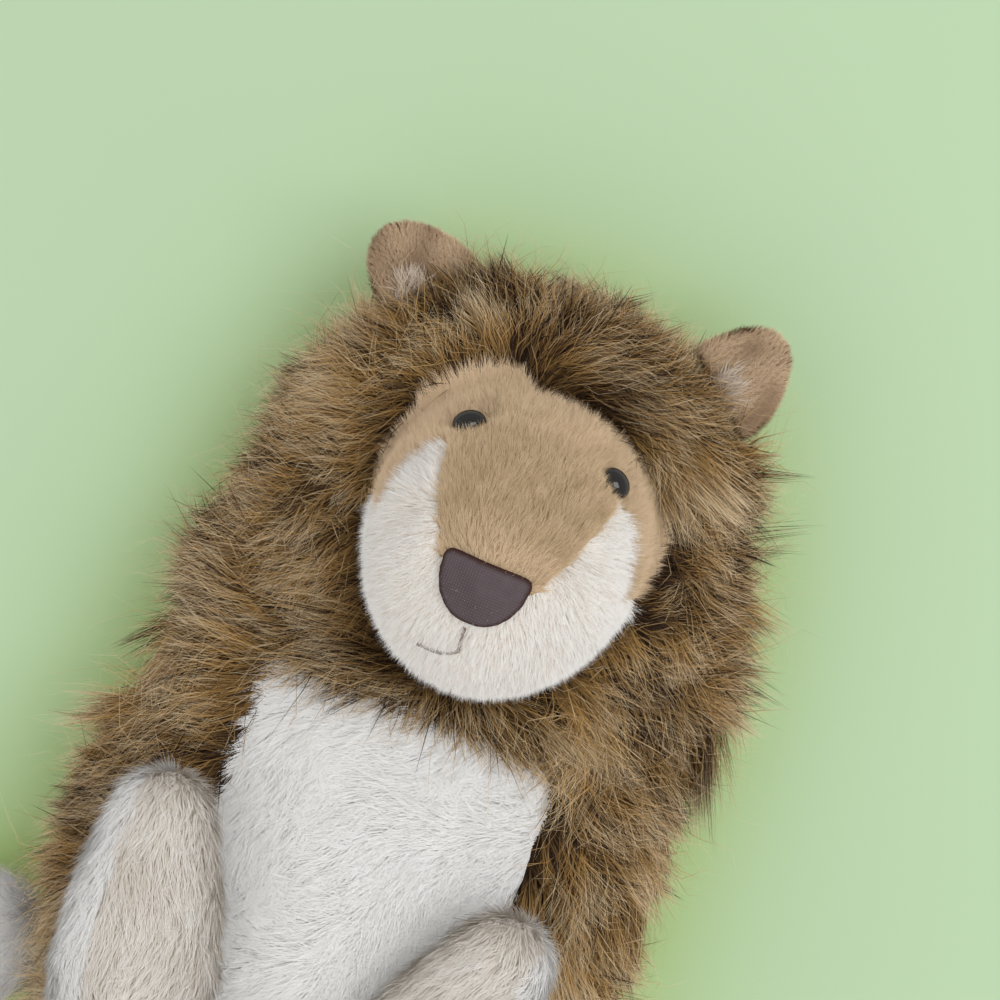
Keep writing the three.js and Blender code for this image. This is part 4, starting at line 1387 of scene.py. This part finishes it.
def soft_tone(points, rng):
    return 0.55 + 0.15 * ripple(points, 0.02, rng) + rng.normal(0.0, 0.08, len(points))


class WOLF_OT_arms(WolfStep):
    """Pads the arms and grows their beige and white pile"""

    bl_idname = "wolf.arms"
    bl_label = "Arms"

    def execute(self, context):
        rng = seeded(6)
        nap = limb_nap()
        for body, side in (("arm_left", 1.0), ("arm_right", -1.0)):
            way = (side * -0.224, -0.975, 0.65)
            outer = (side, 0.0, 0.0)
            hairs = ("beige", "white")
            top, under = pad_limb(body, HAIR_COUNTS["arm"], nap, rng, hairs, way, soft_tone, outer)
        return {"FINISHED"}


class WOLF_OT_legs(WolfStep):
    """Pads the hind legs and grows their cream pile"""

    bl_idname = "wolf.legs"
    bl_label = "Legs"

    def execute(self, context):
        rng = seeded(7)
        nap = limb_nap(1.35)
        for body, side in (("leg_left", 1.0), ("leg_right", -1.0)):
            way = (side * 0.7655, -0.6423, -0.0384)
            hairs = ("white", "white")
            top, under = pad_limb(body, HAIR_COUNTS["leg"], nap, rng, hairs, way, soft_tone)
        return {"FINISHED"}


class WOLF_OT_tail(WolfStep):
    """Pads the tail and grows its long fur"""

    bl_idname = "wolf.tail"
    bl_label = "Tail"

    def execute(self, context):
        rng = seeded(8)
        nap = Nap(pile_sizes().tail, pile_sizes().hair, uneven=0.2, lift=0.7, lay=0.1, bunch=16, soft=0.6)
        way = (0.0, -1.0, -0.04)
        top, under = pad_limb("tail", HAIR_COUNTS["tail"], nap, rng, ("coat", "beige"), way, fur_tone)
        return {"FINISHED"}


class WOLF_OT_fittings(WolfStep):
    """Gives the hidden washers behind the eyes their moulded plastic"""

    bl_idname = "wolf.fittings"
    bl_label = "Eye washers"

    def execute(self, context):
        material, tree, surface = plain_material("washer_moulding", 0.4)
        colour = clouded(tree, 400.0, paint("c9c9c4"), paint("dededa"))
        tree.links.new(colour, surface.inputs["Base Color"])
        for name in ("eye_washer_left", "eye_washer_right"):
            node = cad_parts[name]
            node.data.materials.clear()
            node.data.materials.append(material)
        return {"FINISHED"}


STEPS = (
    WOLF_OT_stage,
    WOLF_OT_padding,
    WOLF_OT_coat,
    WOLF_OT_belly,
    WOLF_OT_mane,
    WOLF_OT_face,
    WOLF_OT_nose,
    WOLF_OT_eyes,
    WOLF_OT_ears,
    WOLF_OT_arms,
    WOLF_OT_legs,
    WOLF_OT_tail,
    WOLF_OT_fittings,
)


class WOLF_PT_panel(bpy.types.Panel):
    """Lists the steps that dress the wolf"""

    bl_idname = "WOLF_PT_panel"
    bl_label = "Plush wolf"
    bl_space_type = "VIEW_3D"
    bl_region_type = "UI"
    bl_category = "Wolf"

    def draw(self, context):
        for group in (context.scene.wolf_pile, context.scene.wolf_colours):
            for key in group.__annotations__:
                self.layout.prop(group, key)
        for step in STEPS:
            self.layout.operator(step.bl_idname)


CLASSES = (WolfPile, WolfColours, *STEPS, WOLF_PT_panel)


def register():
    for each in CLASSES:
        bpy.utils.register_class(each)
    bpy.types.Scene.wolf_pile = bpy.props.PointerProperty(type=WolfPile)
    bpy.types.Scene.wolf_colours = bpy.props.PointerProperty(type=WolfColours)


def unregister():
    del bpy.types.Scene.wolf_colours
    del bpy.types.Scene.wolf_pile
    for each in reversed(CLASSES):
        bpy.utils.unregister_class(each)


def main():
    register()
    for step in STEPS:
        group, name = step.bl_idname.split(".")
        getattr(getattr(bpy.ops, group), name)()


if __name__ == "__main__":
    main()
